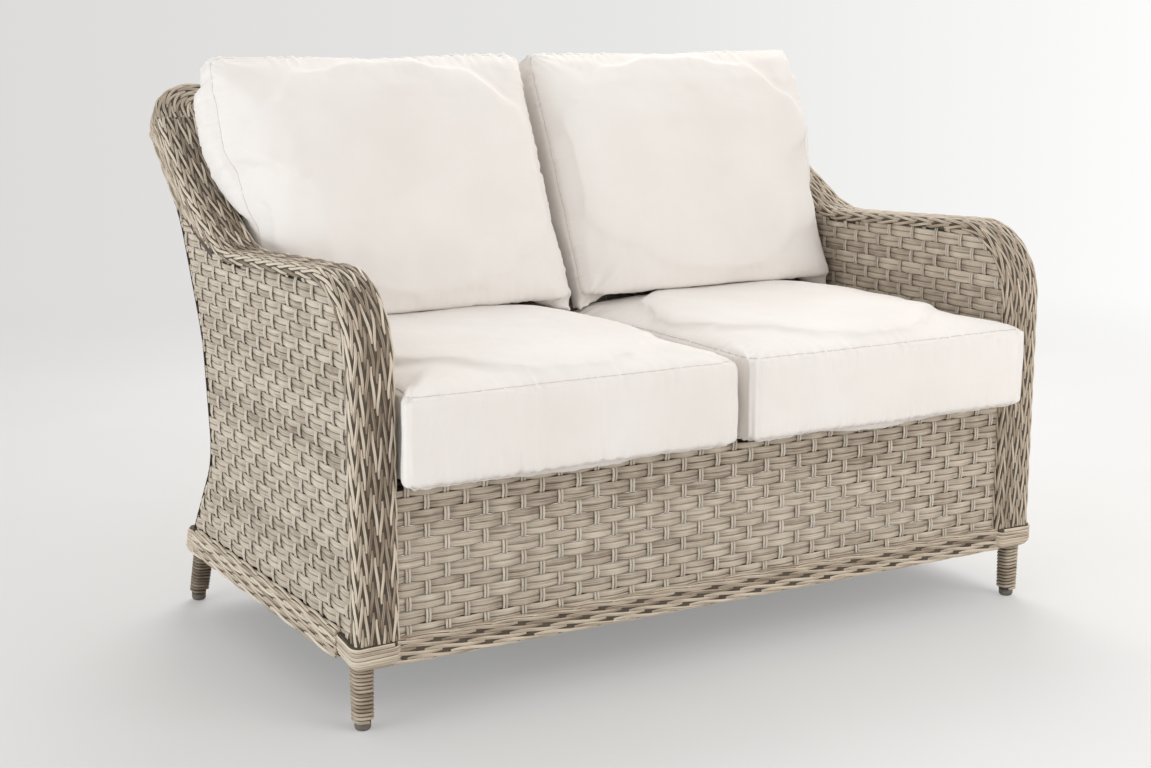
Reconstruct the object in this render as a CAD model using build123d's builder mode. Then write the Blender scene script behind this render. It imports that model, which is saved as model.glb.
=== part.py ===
from build123d import *

import os
from math import atan2, dist, hypot, pi, sin, tan

# Patio loveseat: a welded aluminium frame dressed in woven resin strands, with four loose cushions.
# Millimetres, +Z up, +Y to the back and +X to the right as seen from the front. The origin is on the
# floor in the middle of the whole loveseat. Side profiles are drawn as (depth, height) from the axis of
# the front legs, and left and right are as seen from the front.

# Overall form of the woven body
arm_span = 1380.0
arm_width = 76.0
arm_height = 716.0
arm_drop = 25.0
arm_front_radius = 135.0
post_front = 28.3
back_reach = 907.0
back_rise = 216.0
back_thickness = 64.0

# The crest stands over the arms by the rise of the back
back_height = arm_height + back_rise

# The back line is the axis of the rear post: foot, ankle, hollow, small of the back, crest bend, crest
back_reach_shares = (0.839, 0.781, 0.633, 0.663, 0.772, 1.0)
back_height_shares = (0.0, 0.134, 0.329, 0.567, 0.795, 1.0)
ankle_radius = 200.0
hollow_radius = 140.0
small_radius = 300.0
crest_bend_radius = 250.0

# The arm line swoops up into the wing at the end of the back
swoop_run = 160.0
swoop_radius = 190.0
wing_offset = 20.0
wing_radius = 350.0
wing_seam_run = 28.0
wing_seam_slope = 0.41

# The crest closes the back with two rounded corners
crest_leg = 90.0
crest_depth = 55.0
crest_corner_radius = 85.0
crest_inner_radius = 14.0
crest_edge_radius = 14.0

# Woven skins
weave_thickness = 6.0
fit = 0.3
lip_depth = 18.0
braid_edge_radius = 11.0
apron_recess = 12.0
apron_lap = 22.0
lap_thickness = 3.8
lap_radius = 3.5

# Welded frame
tube = 30.0
tube_wall = 2.0
tube_corner = 3.0
post_depth = 44.0
inner_tube = 20.0
seat_rail_top = 375.0
base_rail_bottom = 125.0
deck_bar = 25.0
deck_bar_spread = 310.0
upright_width = 25.0
upright_spread = 300.0
tie_width = 20.0
arm_tie_first = 150.0
arm_tie_second = 350.0
post_tie_height = 550.0

# Seat deck webbing
strap_thickness = 2.0
strap_gap = 0.1
skin_gap = 0.76
strap_width = 50.0
strap_bearing = 18.0
long_strap_count = 6
long_strap_pitch = 85.0
long_strap_first = 75.0
cross_strap_count = 12
cross_strap_pitch = 100.0
hem_length = 12.0

# Plaited borders and collars round the bottom
border_bulge = 8.0
border_bottom = 103.0
border_height = 40.0
side_border_bottom = 110.0
side_border_height = 46.0
border_edge_radius = 5.0
collar_bottom = 98.0
collar_taper = 8.0
collar_taper_height = 14.0
collar_bulge = 6.0
collar_overlap = 2.0
front_collar_back = 40.0
rear_collar_margin = 14.0
collar_corner_radius = 12.0

# Wound legs and their glides
leg_core = 22.0
leg_core_corner = 5.0
plug_height = 20.0
wire = 4.6
wire_pitch = 5.4
glide_height = 12.0
glide_radius = 13.0
glide_dome = 7.0
glide_flat_radius = 8.0

# Seat cushions
seat_side_gap = 2.0
seat_middle_gap = 3.0
seat_front = 78.0
seat_front_bulge = 5.0
seat_rear_gap = 2.0
seat_ear = 17.0
seat_ear_gap = 6.0
seat_ear_slope = 8.0
seat_bottom_seam = 12.0
seat_bottom_inset = 18.0
seat_boxing = 138.0
seat_crown = 32.0
seat_crown_front = 140.0
seat_crown_side = 125.0
seat_crown_rear = 45.0

# Back cushions
back_cushion_rise = 92.0
back_cushion_gap = 0.5
back_cushion_boxing = 80.0
back_cushion_rear_seam = 10.0
back_cushion_rear_inset = 14.0
back_cushion_crown = 60.0
back_crown_top = 170.0
back_crown_bottom = 60.0
back_crown_side = 110.0
back_middle_gap = 16.0
back_cushion_tuck = 40.0
back_cushion_flare = 33.0
flare_rise = 25.0
flare_clearance = 4.0

# Making of the cushions
cover_thickness = 1.6
fill_clearance = 0.3
cushion_corner = 24.0
ear_corner = 5.0
ear_front_corner = 8.0
flare_corner = 20.0
side_draw = 5.0
crown_rise_share = (0.45, 0.78, 1.0)
crown_inset_share = (0.2, 0.52, 1.0)
ear_shrink_share = 0.85

# Reach of the cuts
overrun = 120.0

os.makedirs("parts", exist_ok=True)


def save(piece, name):
    piece.label = name
    export_step(piece, f"parts/{name}.step")


def save_pair(piece, name):
    """Write a piece of the right side and its mirror image on the left."""
    with BuildPart() as left_hand:
        mirror(piece, about=Plane.YZ)
    save(piece, f"{name}_right")
    save(left_hand.part, f"{name}_left")


def direction(start, end):
    run, rise = end[0] - start[0], end[1] - start[1]
    return run / hypot(run, rise), rise / hypot(run, rise)


def along(start, end, distance):
    run, rise = direction(start, end)
    return start[0] + run * distance, start[1] + rise * distance


def beside(line, distance):
    """The line that runs beside another, behind it where the distance is positive."""
    points, radii = line
    courses = [direction(a, b) for a, b in zip(points, points[1:])]
    (run, rise), (last_run, last_rise) = courses[0], courses[-1]
    shifted = [(points[0][0] + rise * distance, points[0][1] - run * distance)]
    turned = []
    for corner, before, after, radius in zip(points[1:-1], courses, courses[1:], radii):
        turn = atan2(after[1], after[0]) - atan2(before[1], before[0])
        reach = distance * tan(turn / 2)
        shifted.append(
            (
                corner[0] + before[1] * distance + before[0] * reach,
                corner[1] - before[0] * distance + before[1] * reach,
            )
        )
        turned.append(radius + (distance if turn > 0 else -distance))
    end = points[-1]
    shifted.append((end[0] + last_rise * distance, end[1] - last_run * distance))
    return shifted, turned


def ending(line, margin):
    """The same line, drawn back from its last point."""
    points, radii = line
    return points[:-1] + [along(points[-1], points[-2], margin)], radii


def depth_at(line, height):
    """How far back a rising line is at a height."""
    points = line[0]
    for start, end in zip(points, points[1:]):
        if height <= end[1]:
            break
    return start[0] + (end[0] - start[0]) * (height - start[1]) / (end[1] - start[1])


def side(x):
    """Plane of a side profile."""
    return Plane(origin=(x, front_leg_y, 0), x_dir=(0, 1, 0), z_dir=(1, 0, 0))


def level(height):
    """Horizontal plane with the axis of the front legs on its X axis."""
    return Plane(origin=(0, front_leg_y, height))


def leaning(reach):
    """Plane of the leaning crest, a distance behind the back line, with its origin on the crest."""
    run, rise = crest_course
    end = back_line[0][-1]
    origin = (0, front_leg_y + end[0] + rise * reach, end[1] - run * reach)
    return Plane(origin=origin, x_dir=(1, 0, 0), z_dir=(0, -rise, run))


def cushion_plane(reach):
    """Plane of the back cushions, a distance in front of the back line."""
    run, rise = small_course
    start = back_line[0][3]
    origin = (0, front_leg_y + start[0] - rise * reach, start[1] + run * reach)
    return Plane(origin=origin, x_dir=(1, 0, 0), z_dir=(0, -rise, run))


def between(first, second):
    """Face between two lines of rounded corners."""
    with BuildSketch(Plane.XY) as face:
        with BuildLine():
            near = FilletPolyline(*first[0], radius=first[1])
            far = FilletPolyline(*second[0], radius=second[1])
            Line(near @ 0, far @ 0)
            Line(near @ 1, far @ 1)
        make_face()
    return face.sketch


def strip(line, near, far):
    """Face between two offsets of one line."""
    return between(beside(line, near), beside(line, far))


def window(left, bottom, right, top):
    """Upright rectangle from corner to corner."""
    with BuildSketch(Plane.XY) as face:
        with Locations(((left + right) / 2, (bottom + top) / 2)):
            Rectangle(right - left, top - bottom)
    return face.sketch


def hollow_square(size):
    """Section of a square tube."""
    with BuildSketch(Plane.XY) as face:
        RectangleRounded(size, size, tube_corner)
        inside = size - 2 * tube_wall
        RectangleRounded(inside, inside, tube_corner - tube_wall, mode=Mode.SUBTRACT)
    return face.sketch


def drawn_outline(corners, draws, radii):
    """Closed outline with rounded corners, whose edges bow out by their draw, or in where it is negative."""
    with BuildSketch(Plane.XY) as outline:
        with BuildLine():
            for start, end, draw in zip(corners, corners[1:] + corners[:1], draws):
                run, rise = direction(start, end)
                middle = ((start[0] + end[0]) / 2 + rise * draw, (start[1] + end[1]) / 2 - run * draw)
                if draw:
                    ThreePointArc(start, middle, end)
                else:
                    Line(start, end)
        make_face()
        for corner, radius in zip(corners, radii):
            fillet(outline.vertices().sort_by_distance(corner)[0], radius)
    return outline.sketch


# Lines of the side profile
rear_half = tube / 2 + weave_thickness + fit
front_half = back_thickness - rear_half
skin_front = weave_thickness - front_half
skin_rear = rear_half - weave_thickness
back_line = (
    [(back_reach * y, back_height * z) for y, z in zip(back_reach_shares, back_height_shares)],
    [ankle_radius, hollow_radius, small_radius, crest_bend_radius],
)
crest_course = direction(back_line[0][-2], back_line[0][-1])
small_course = direction(back_line[0][3], back_line[0][4])
back_front = beside(back_line, -front_half)
post_line = ending(back_line, crest_leg)
crest_start = ending(back_line, crest_leg + fit)
crest_under = ending(back_line, crest_depth + fit)

# The part is centred between the fronts of the seat cushions and the rear of the crest
rear_reach = (
    back_line[0][-1][0]
    + crest_course[1] * (rear_half - crest_edge_radius)
    + crest_edge_radius * (1 - crest_course[0])
)
front_leg_y = (seat_front + seat_front_bulge - rear_reach) / 2

# Line of the arm along the outer face of its braid, from the bottom of the post to the crest
arm_start = border_bottom + border_height + fit
wing_bend = along(back_front[0][-2], back_front[0][-1], wing_offset)
swoop_start = (wing_bend[0] - swoop_run, arm_height - arm_drop)
arm_front_corner = (-post_front, arm_height)
wing_end = beside(crest_start, -front_half)[0][-1]
arm_line = (
    [(-post_front, arm_start), arm_front_corner, swoop_start, wing_bend, wing_end],
    [arm_front_radius, swoop_radius, wing_radius],
)
wing_seam = (swoop_start[0] + wing_seam_run, swoop_start[1] - lip_depth)

# Widths across the loveseat
arm_outer = arm_span / 2
arm_inner = arm_outer - arm_width
skin_half = arm_inner - fit
post_outer = arm_outer - weave_thickness - fit
post_inner = post_outer - tube
leg_x = post_outer - tube / 2
border_outer = arm_outer + border_bulge
border_back = arm_outer - weave_thickness

# Depths and heights of the rails
apron_front = apron_recess - post_front
rail_front = apron_front + weave_thickness + fit
post_back = post_depth + weave_thickness + fit - post_front
seat_rail_bottom = seat_rail_top - tube
base_rail_top = base_rail_bottom + tube
post_bottom = collar_bottom + collar_taper_height
border_top = border_bottom + border_height
side_border_top = side_border_bottom + side_border_height
seat_rail_back = depth_at(beside(back_line, skin_rear), seat_rail_bottom)
base_rail_back = depth_at(beside(back_line, skin_rear), base_rail_top)
strap_top = seat_rail_top + 2 * strap_thickness + strap_gap
weave_bottom = side_border_top + fit
skin_bottom = strap_top + skin_gap


def edges_on(part, line):
    """Edges of a part that lie along a line."""
    return [edge for edge in part.edges() if line.distance_to(edge @ (1 / 2)) < fit]


# Post and arm tubes, bent in one piece and welded to the rear posts
def arm_course(start_height):
    """The arm line from a height on the post to the wing bend, as the tubes follow it."""
    points, radii = arm_line
    return [(-post_front, start_height)] + points[1:4], radii[:2]


tube_near = weave_thickness + fit
with BuildPart() as post_arm_tube:
    with BuildSketch(side(post_inner)):
        add(strip(arm_course(post_bottom), tube_near, tube_near + post_depth))
        add(strip(back_line, -tube / 2, overrun), mode=Mode.SUBTRACT)
    extrude(amount=tube)
    with BuildSketch(side(post_inner + tube_wall)):
        add(strip(arm_course(post_bottom), tube_near + tube_wall, tube_near + post_depth - tube_wall))
    extrude(amount=tube - 2 * tube_wall, mode=Mode.SUBTRACT)

# Lighter tube that carries the inner weave of the arm, tied to the main tube
with BuildPart() as arm_inner_frame:
    frame_outer = arm_inner + weave_thickness + fit + inner_tube
    with BuildSketch(side(frame_outer - inner_tube)):
        add(strip(arm_course(seat_rail_top), tube_near, tube_near + inner_tube))
    extrude(amount=inner_tube)
    with BuildSketch(side(frame_outer)):
        with BuildSketch(Plane.XY, mode=Mode.PRIVATE) as ties:
            half_tie = tie_width / 2
            for place in (arm_tie_first, arm_tie_second):
                add(window(place - half_tie, post_tie_height, place + half_tie, arm_height))
            add(window(-post_front, post_tie_height - half_tie, post_back, post_tie_height + half_tie))
        add(strip(arm_course(seat_rail_top), tube_near, tube_near + inner_tube))
        add(ties.sketch, mode=Mode.INTERSECT)
    extrude(amount=post_inner - frame_outer)
save_pair(post_arm_tube.part, "post_arm_tube")
save_pair(arm_inner_frame.part, "arm_inner_frame")

# Rear posts, from the collars to the start of the crest
with BuildPart() as rear_post_tube:
    with BuildSketch(side(post_inner)):
        add(strip(post_line, -tube / 2, tube / 2))
        add(window(0, post_bottom, back_reach, back_height), mode=Mode.INTERSECT)
    extrude(amount=tube)
    with BuildSketch(side(post_inner + tube_wall)):
        add(strip(post_line, tube_wall - tube / 2, tube / 2 - tube_wall))
    extrude(amount=tube - 2 * tube_wall, mode=Mode.SUBTRACT)
save_pair(rear_post_tube.part, "rear_post_tube")


def arch(half_width, top, radius):
    """Line of an upright arch in the plane of the crest, from its left foot to its right foot."""
    foot = -crest_leg
    return [(-half_width, foot), (-half_width, top), (half_width, top), (half_width, foot)], [radius] * 2


# Crest tube, an arch over the two rear posts
crest_tube_top = -weave_thickness - fit
crest_tube_radius = crest_corner_radius - weave_thickness - fit
with BuildPart() as crest_tube:
    with BuildSketch(leaning(tube / 2)):
        add(
            between(
                arch(post_outer, crest_tube_top, crest_tube_radius),
                arch(post_inner, crest_tube_top - tube, crest_tube_radius - tube),
            )
        )
    extrude(amount=tube)
    with BuildSketch(leaning(tube / 2 - tube_wall)):
        add(
            between(
                arch(post_outer - tube_wall, crest_tube_top - tube_wall, crest_tube_radius - tube_wall),
                arch(post_inner + tube_wall, crest_tube_top - tube + tube_wall, crest_tube_radius - tube + tube_wall),
            )
        )
    extrude(amount=tube - 2 * tube_wall, mode=Mode.SUBTRACT)
save(crest_tube.part, "crest_tube")

# Uprights inside the back, between the rear seat rail and the crest tube
under_crest_tube = ending(back_line, tube - crest_tube_top)
with BuildPart() as back_uprights:
    for x in (-upright_spread, 0, upright_spread):
        with BuildSketch(side(x - upright_width / 2)):
            add(strip(under_crest_tube, skin_front + fit, tube / 2))
            add(window(0, seat_rail_top, back_reach, back_height), mode=Mode.INTERSECT)
        extrude(amount=upright_width)
        with BuildSketch(side(x + tube_wall - upright_width / 2)):
            add(strip(under_crest_tube, skin_front + fit + tube_wall, tube / 2 - tube_wall))
        extrude(amount=upright_width - 2 * tube_wall, mode=Mode.SUBTRACT)
save(back_uprights.part, "back_uprights")

# Rails that run across, and rails that run back along each side
for name, bottom, back in (
    ("seat_rail_front", seat_rail_bottom, rail_front + tube),
    ("seat_rail_rear", seat_rail_bottom, seat_rail_back),
    ("base_rail_front", base_rail_bottom, rail_front + tube),
    ("base_rail_rear", base_rail_bottom, base_rail_back),
):
    with BuildPart() as cross_rail:
        with BuildSketch(side(-post_inner)):
            with Locations((back - tube / 2, bottom + tube / 2)):
                add(hollow_square(tube))
        extrude(amount=2 * post_inner)
    save(cross_rail.part, name)

for name, bottom in (("seat_rail", seat_rail_bottom), ("base_rail", base_rail_bottom)):
    with BuildPart() as side_rail:
        middle = (leg_x, front_leg_y + post_back, bottom + tube / 2)
        with BuildSketch(Plane(origin=middle, x_dir=(1, 0, 0), z_dir=(0, 1, 0))):
            add(hollow_square(tube))
        extrude(amount=depth_at(back_line, bottom) - post_back)
        with BuildSketch(side(post_inner)):
            add(strip(back_line, -tube / 2, overrun))
        extrude(amount=tube, mode=Mode.SUBTRACT)
    save_pair(side_rail.part, name)

# Deck bars between the front and rear seat rails
rear_rail_front = seat_rail_back - tube
with BuildPart() as deck_bars:
    for x in (-deck_bar_spread, 0, deck_bar_spread):
        middle = (x, front_leg_y + rail_front + tube, seat_rail_top - deck_bar / 2)
        with BuildSketch(Plane(origin=middle, x_dir=(1, 0, 0), z_dir=(0, 1, 0))):
            add(hollow_square(deck_bar))
        extrude(amount=rear_rail_front - rail_front - tube)
save(deck_bars.part, "deck_bars")

# Webbing: straps along the seat, then straps across it with hemmed ends on the rails
strap_reach = post_inner + strap_bearing
with BuildPart() as deck_straps_long:
    with BuildSketch(level(seat_rail_top)):
        for number in range(long_strap_count):
            with Locations((0, long_strap_first + number * long_strap_pitch)):
                Rectangle(2 * strap_reach, strap_width)
    extrude(amount=strap_thickness)
save(deck_straps_long.part, "deck_straps_long")

lap_back = apron_front + apron_lap
hem_front = lap_back + fit
hem_back = rear_rail_front + strap_bearing
with BuildPart() as deck_straps_cross:
    for number in range(cross_strap_count):
        x = (number - (cross_strap_count - 1) / 2) * cross_strap_pitch
        with BuildSketch(side(x - strap_width / 2)):
            add(window(hem_front, strap_top - strap_thickness, hem_back, strap_top))
            add(window(hem_front, seat_rail_top, hem_front + hem_length, strap_top))
            add(window(hem_back - hem_length, seat_rail_top, hem_back, strap_top))
        extrude(amount=strap_width)
save(deck_straps_cross.part, "deck_straps_cross")

# Apron under the seat, woven over the top of the front rail
with BuildPart() as front_apron_weave:
    lap_top = seat_rail_top + lap_thickness
    with BuildSketch(side(-skin_half)) as apron_section:
        add(window(apron_front, border_top + fit, apron_front + weave_thickness, lap_top))
        add(window(apron_front, seat_rail_top, lap_back, lap_top))
        fillet(apron_section.vertices().sort_by_distance((apron_front, lap_top))[0], lap_radius)
    extrude(amount=2 * skin_half)
save(front_apron_weave.part, "front_apron_weave")



def crest_clearance():
    """The crest braid's arch with its clearance, which the skins of the back stay out of."""
    inside = arch(skin_half, -crest_depth - fit, crest_inner_radius - fit)
    return between(arch(arm_outer, 0, crest_corner_radius), inside)


# Woven skins of the back
with BuildPart() as back_weave_front:
    with BuildSketch(side(-skin_half)):
        add(strip(crest_under, -front_half, skin_front))
        add(window(0, skin_bottom, back_reach, back_height + crest_leg), mode=Mode.INTERSECT)
    extrude(amount=2 * skin_half)
    with BuildSketch(leaning(rear_half)):
        add(crest_clearance())
    extrude(amount=back_thickness, mode=Mode.SUBTRACT)
save(back_weave_front.part, "back_weave_front")

with BuildPart() as back_weave_rear:
    for line, half_width in ((crest_start, arm_outer), (crest_under, skin_half)):
        with BuildSketch(side(-half_width)):
            add(strip(line, skin_rear, rear_half))
            add(window(0, weave_bottom, back_reach + rear_half, back_height), mode=Mode.INTERSECT)
        extrude(amount=2 * half_width)
    with BuildSketch(leaning(rear_half)):
        add(crest_clearance())
    extrude(amount=back_thickness, mode=Mode.SUBTRACT)
save(back_weave_rear.part, "back_weave_rear")


def wing_wedge(margin):
    """Everything above the seam between the plaited wing and the woven side."""
    front, bottom = wing_seam
    reach = back_reach - front
    with BuildSketch(Plane.XY) as wedge:
        with BuildLine():
            Polyline(
                (front - margin, bottom - margin),
                (front + reach, bottom - margin + reach * wing_seam_slope),
                (front + reach, bottom + 2 * reach),
                (front - margin, bottom + 2 * reach),
                close=True,
            )
        make_face()
    return wedge.sketch


# Woven skins of the arm, outside and inside
side_back = beside(crest_start, skin_rear - fit)
with BuildPart() as side_weave_outer:
    with BuildSketch(side(border_back)):
        add(between(beside(arm_line, lip_depth + fit), side_back))
        with BuildSketch(Plane.XY, mode=Mode.PRIVATE) as above_border:
            add(window(apron_front, weave_bottom, back_reach, back_height))
            add(window(apron_front, arm_start, front_collar_back, back_height))
        add(above_border.sketch, mode=Mode.INTERSECT)
        add(wing_wedge(fit), mode=Mode.SUBTRACT)
    extrude(amount=weave_thickness)
save_pair(side_weave_outer.part, "side_weave_outer")

with BuildPart() as side_weave_inner:
    with BuildSketch(side(arm_inner)):
        add(between(beside(arm_line, lip_depth + fit), side_back))
        add(strip(back_line, -front_half - fit, overrun), mode=Mode.SUBTRACT)
        add(window(apron_front, skin_bottom, back_reach, back_height), mode=Mode.INTERSECT)
    extrude(amount=weave_thickness)
save_pair(side_weave_inner.part, "side_weave_inner")

# Plaited braid over the post, the arm and the wing
with BuildPart() as arm_braid:
    with BuildSketch(side(arm_inner)):
        add(strip(arm_line, 0, weave_thickness))
    extrude(amount=arm_width)
    for x in (arm_inner, border_back):
        with BuildSketch(side(x)):
            add(strip(arm_line, 0, lip_depth))
        extrude(amount=weave_thickness)
    with BuildSketch(side(border_back)):
        add(between(beside(arm_line, 2 * weave_thickness), side_back))
        add(wing_wedge(0), mode=Mode.INTERSECT)
    extrude(amount=weave_thickness)
    for x in (arm_inner, arm_outer):
        with BuildLine(side(x)) as corner:
            FilletPolyline(*arm_line[0], radius=arm_line[1])
        fillet(edges_on(arm_braid, corner.line), braid_edge_radius)
save_pair(arm_braid.part, "arm_braid")

# Plaited braid over the crest, open to the inside
with BuildPart() as crest_braid:
    with BuildSketch(leaning(rear_half)):
        add(between(arch(arm_outer, 0, crest_corner_radius), arch(arm_inner, -crest_depth, crest_inner_radius)))
    extrude(amount=back_thickness)
    for reach in (rear_half, -front_half):
        points, radii = arch(arm_outer, 0, crest_corner_radius)
        with BuildLine(leaning(reach)) as rim:
            FilletPolyline(*points, radius=radii)
        fillet(edges_on(crest_braid, rim.line), crest_edge_radius)
    with BuildSketch(leaning(skin_rear)):
        with BuildLine():
            points, radii = arch(border_back, -weave_thickness, crest_corner_radius - weave_thickness)
            ceiling = FilletPolyline(*points, radius=radii)
            Line(ceiling @ 0, ceiling @ 1)
        make_face()
    extrude(amount=skin_rear - skin_front, mode=Mode.SUBTRACT)
save(crest_braid.part, "crest_braid")

# Plaited borders between the collars
border_thickness = weave_thickness + border_bulge
collar_inner = arm_inner - collar_overlap
rear_collar_inner = post_inner - rear_collar_margin
rear_collar_front = -tube / 2 - rear_collar_margin
with BuildPart() as front_border:
    with BuildSketch(side(fit - collar_inner)) as border_section:
        front = apron_front - border_bulge
        add(window(front, border_bottom, front + border_thickness, border_top))
        fillet(border_section.vertices().group_by(Axis.X)[0], border_edge_radius)
    extrude(amount=2 * (collar_inner - fit))
save(front_border.part, "front_border")

with BuildPart() as side_border:
    with BuildSketch(side(border_back)):
        back = depth_at(back_line, side_border_bottom)
        add(window(front_collar_back + fit, side_border_bottom, back, side_border_top))
        add(strip(back_line, rear_collar_front - fit, overrun), mode=Mode.SUBTRACT)
    extrude(amount=border_thickness)
    long_edges = side_border.edges().filter_by(Axis.Y).group_by(Axis.X)[-1]
    fillet(long_edges, border_edge_radius)
save_pair(side_border.part, "side_border")

with BuildPart() as rear_border:
    with BuildSketch(side(fit - rear_collar_inner)):
        add(strip(back_line, skin_rear, rear_half + border_bulge))
        add(window(0, side_border_bottom, back_reach, side_border_top), mode=Mode.INTERSECT)
    extrude(amount=2 * (rear_collar_inner - fit))
save(rear_border.part, "rear_border")

# Collars of wrapped strands round the foot of each post
bore = leg_core + 2 * fit
with BuildPart() as front_collar:
    with BuildSketch(level(collar_bottom)) as collar_plan:
        add(window(collar_inner, -post_front - collar_bulge, border_outer, front_collar_back))
        fillet(collar_plan.vertices(), collar_corner_radius)
    extrude(amount=border_top - collar_bottom)
    chamfer(front_collar.faces().sort_by(Axis.Z)[0].edges(), collar_taper)
    with BuildSketch(level(collar_bottom)):
        with Locations((leg_x, 0)):
            Rectangle(bore, bore)
    extrude(amount=overrun, mode=Mode.SUBTRACT)
    with BuildSketch(level(post_bottom)):
        add(window(post_inner - fit, post_back - post_depth - fit, post_outer + fit, post_back + fit))
    extrude(amount=overrun, mode=Mode.SUBTRACT)
    with BuildSketch(level(base_rail_bottom - fit)):
        add(window(collar_inner - fit, rail_front - fit, post_inner, rail_front + tube + fit))
        add(window(post_inner - fit, post_back, post_outer + fit, front_collar_back + fit))
    extrude(amount=overrun, mode=Mode.SUBTRACT)
save_pair(front_collar.part, "collar_front")

with BuildPart() as rear_collar:
    with BuildSketch(side(rear_collar_inner)):
        add(strip(back_line, rear_collar_front, rear_half + border_bulge))
        add(window(0, collar_bottom, back_reach, side_border_top), mode=Mode.INTERSECT)
    extrude(amount=border_outer - rear_collar_inner)
    fillet(rear_collar.edges().filter_by(GeomType.LINE).group_by(Edge.length)[-1], collar_corner_radius)
    chamfer(rear_collar.faces().sort_by(Axis.Z)[0].edges(), collar_taper)
    with BuildSketch(side(leg_x - bore / 2)):
        add(strip(back_line, -bore / 2, bore / 2))
    extrude(amount=bore, mode=Mode.SUBTRACT)
    with BuildSketch(side(post_inner - fit)):
        add(strip(back_line, -tube / 2 - fit, tube / 2 + fit))
        add(window(0, post_bottom, back_reach, back_height), mode=Mode.INTERSECT)
        with BuildSketch(Plane.XY, mode=Mode.PRIVATE) as rail_notch:
            rail_back = depth_at(beside(back_line, -tube / 2), base_rail_bottom)
            add(window(0, base_rail_bottom - fit, rail_back, base_rail_top + fit))
        add(rail_notch.sketch)
    extrude(amount=tube + 2 * fit, mode=Mode.SUBTRACT)
    with BuildSketch(side(rear_collar_inner - fit)):
        add(window(base_rail_back - tube - fit, base_rail_bottom - fit, base_rail_back + fit, base_rail_top + fit))
    extrude(amount=rear_collar_margin + fit, mode=Mode.SUBTRACT)
save_pair(rear_collar.part, "collar_rear")

# Leg cores with a plug in the post, wound with round strand and standing on glides
wire_path_half = leg_core / 2 + fit + wire / 2
wire_corner = leg_core_corner + fit + wire / 2
foot_course = direction(back_line[0][0], back_line[0][1])
for name, foot, course, line, plug_depth in (
    ("front", (0, 0), (0, 1), ([(0, 0), (0, overrun), (0, 2 * overrun)], [0]), post_depth),
    ("rear", back_line[0][0], foot_course, back_line, tube),
):
    origin = (leg_x, front_leg_y + foot[0], 0)
    axis_plane = Plane(origin=origin, x_dir=(1, 0, 0), z_dir=(0, *course))
    stand = depth_at(([foot, (foot[0] + course[0], course[1])], []), glide_height)
    with BuildPart() as leg:
        with BuildSketch(axis_plane.offset(-leg_core)):
            RectangleRounded(leg_core, leg_core, leg_core_corner)
        extrude(amount=post_bottom + 3 * leg_core)
        with BuildSketch(side(leg_x - leg_core)):
            add(window(-overrun, glide_height, back_reach, post_bottom))
        extrude(amount=2 * leg_core, mode=Mode.INTERSECT)
        plug = tube - 2 * tube_wall - 2 * fit
        reach = plug_depth / 2 - tube_wall - fit
        with BuildSketch(side(leg_x - plug / 2)):
            if name == "front":
                add(window(-reach, post_bottom, reach, post_bottom + plug_height))
            else:
                add(strip(line, -reach, reach))
                add(window(0, post_bottom, back_reach, post_bottom + plug_height), mode=Mode.INTERSECT)
        extrude(amount=plug)
    save_pair(leg.part, f"leg_core_{name}")

    slope = abs(course[0])
    wide = wire_path_half + wire / 2
    first = (glide_height + 2 * fit + wide * slope) / course[1] + wire / 2
    last = (collar_bottom - fit - wide * slope) / course[1] - wire / 2
    turns = int((last - first) / wire_pitch)
    corners = [(1, 1), (-1, 1), (-1, -1), (1, -1)]
    points = [(wire_path_half, 0, first)]
    for quarter in range(4 * turns):
        x, y = corners[quarter % 4]
        points.append((x * wire_path_half, y * wire_path_half, first + (quarter / 4 + 1 / 8) * wire_pitch))
    points.append((wire_path_half, 0, first + turns * wire_pitch))
    with BuildPart() as leg_wrap:
        with BuildLine() as winding:
            FilletPolyline(*[axis_plane.from_local_coords(point) for point in points], radius=wire_corner)
        with BuildSketch(Plane(origin=winding.line @ 0, z_dir=winding.line % 0)):
            Circle(wire / 2)
        sweep()
    save_pair(leg_wrap.part, f"leg_wrap_{name}")
    steps = 40 * turns
    coil = winding.wires()[0]
    places = [coil.position_at(step / steps) for step in range(steps + 1)]
    least = min(
        dist(tuple(places[a]), tuple(places[b])) for a in range(steps) for b in range(a + 20, min(a + 70, steps + 1))
    )
    print(f"{name} leg winding: {turns} turns, {coil.length:.0f} mm, least gap {least - wire:.2f} mm")

    with BuildPart() as glide:
        centre = (leg_x, front_leg_y + stand, 0)
        with BuildSketch(Plane(origin=centre, x_dir=(1, 0, 0), z_dir=(0, -1, 0))):
            with BuildLine():
                bend = sin(pi / 4)
                middle = (
                    glide_flat_radius + (glide_radius - glide_flat_radius) * bend,
                    glide_dome * (1 - bend),
                )
                Line((0, 0), (glide_flat_radius, 0))
                ThreePointArc((glide_flat_radius, 0), middle, (glide_radius, glide_dome))
                Polyline((glide_radius, glide_dome), (glide_radius, glide_height), (0, glide_height), (0, 0))
            make_face()
        revolve(axis=Axis(centre, (0, 0, 1)))
    save_pair(glide.part, f"glide_{name}")

# Seat cushions: a boxed cushion with an ear in front of the post and a crown that sits towards the back
seat_bottom = strap_top + fit
seat_rear = depth_at(back_front, seat_bottom) - seat_rear_gap
seat_crown_top = seat_bottom + seat_bottom_seam + seat_boxing + seat_crown


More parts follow.
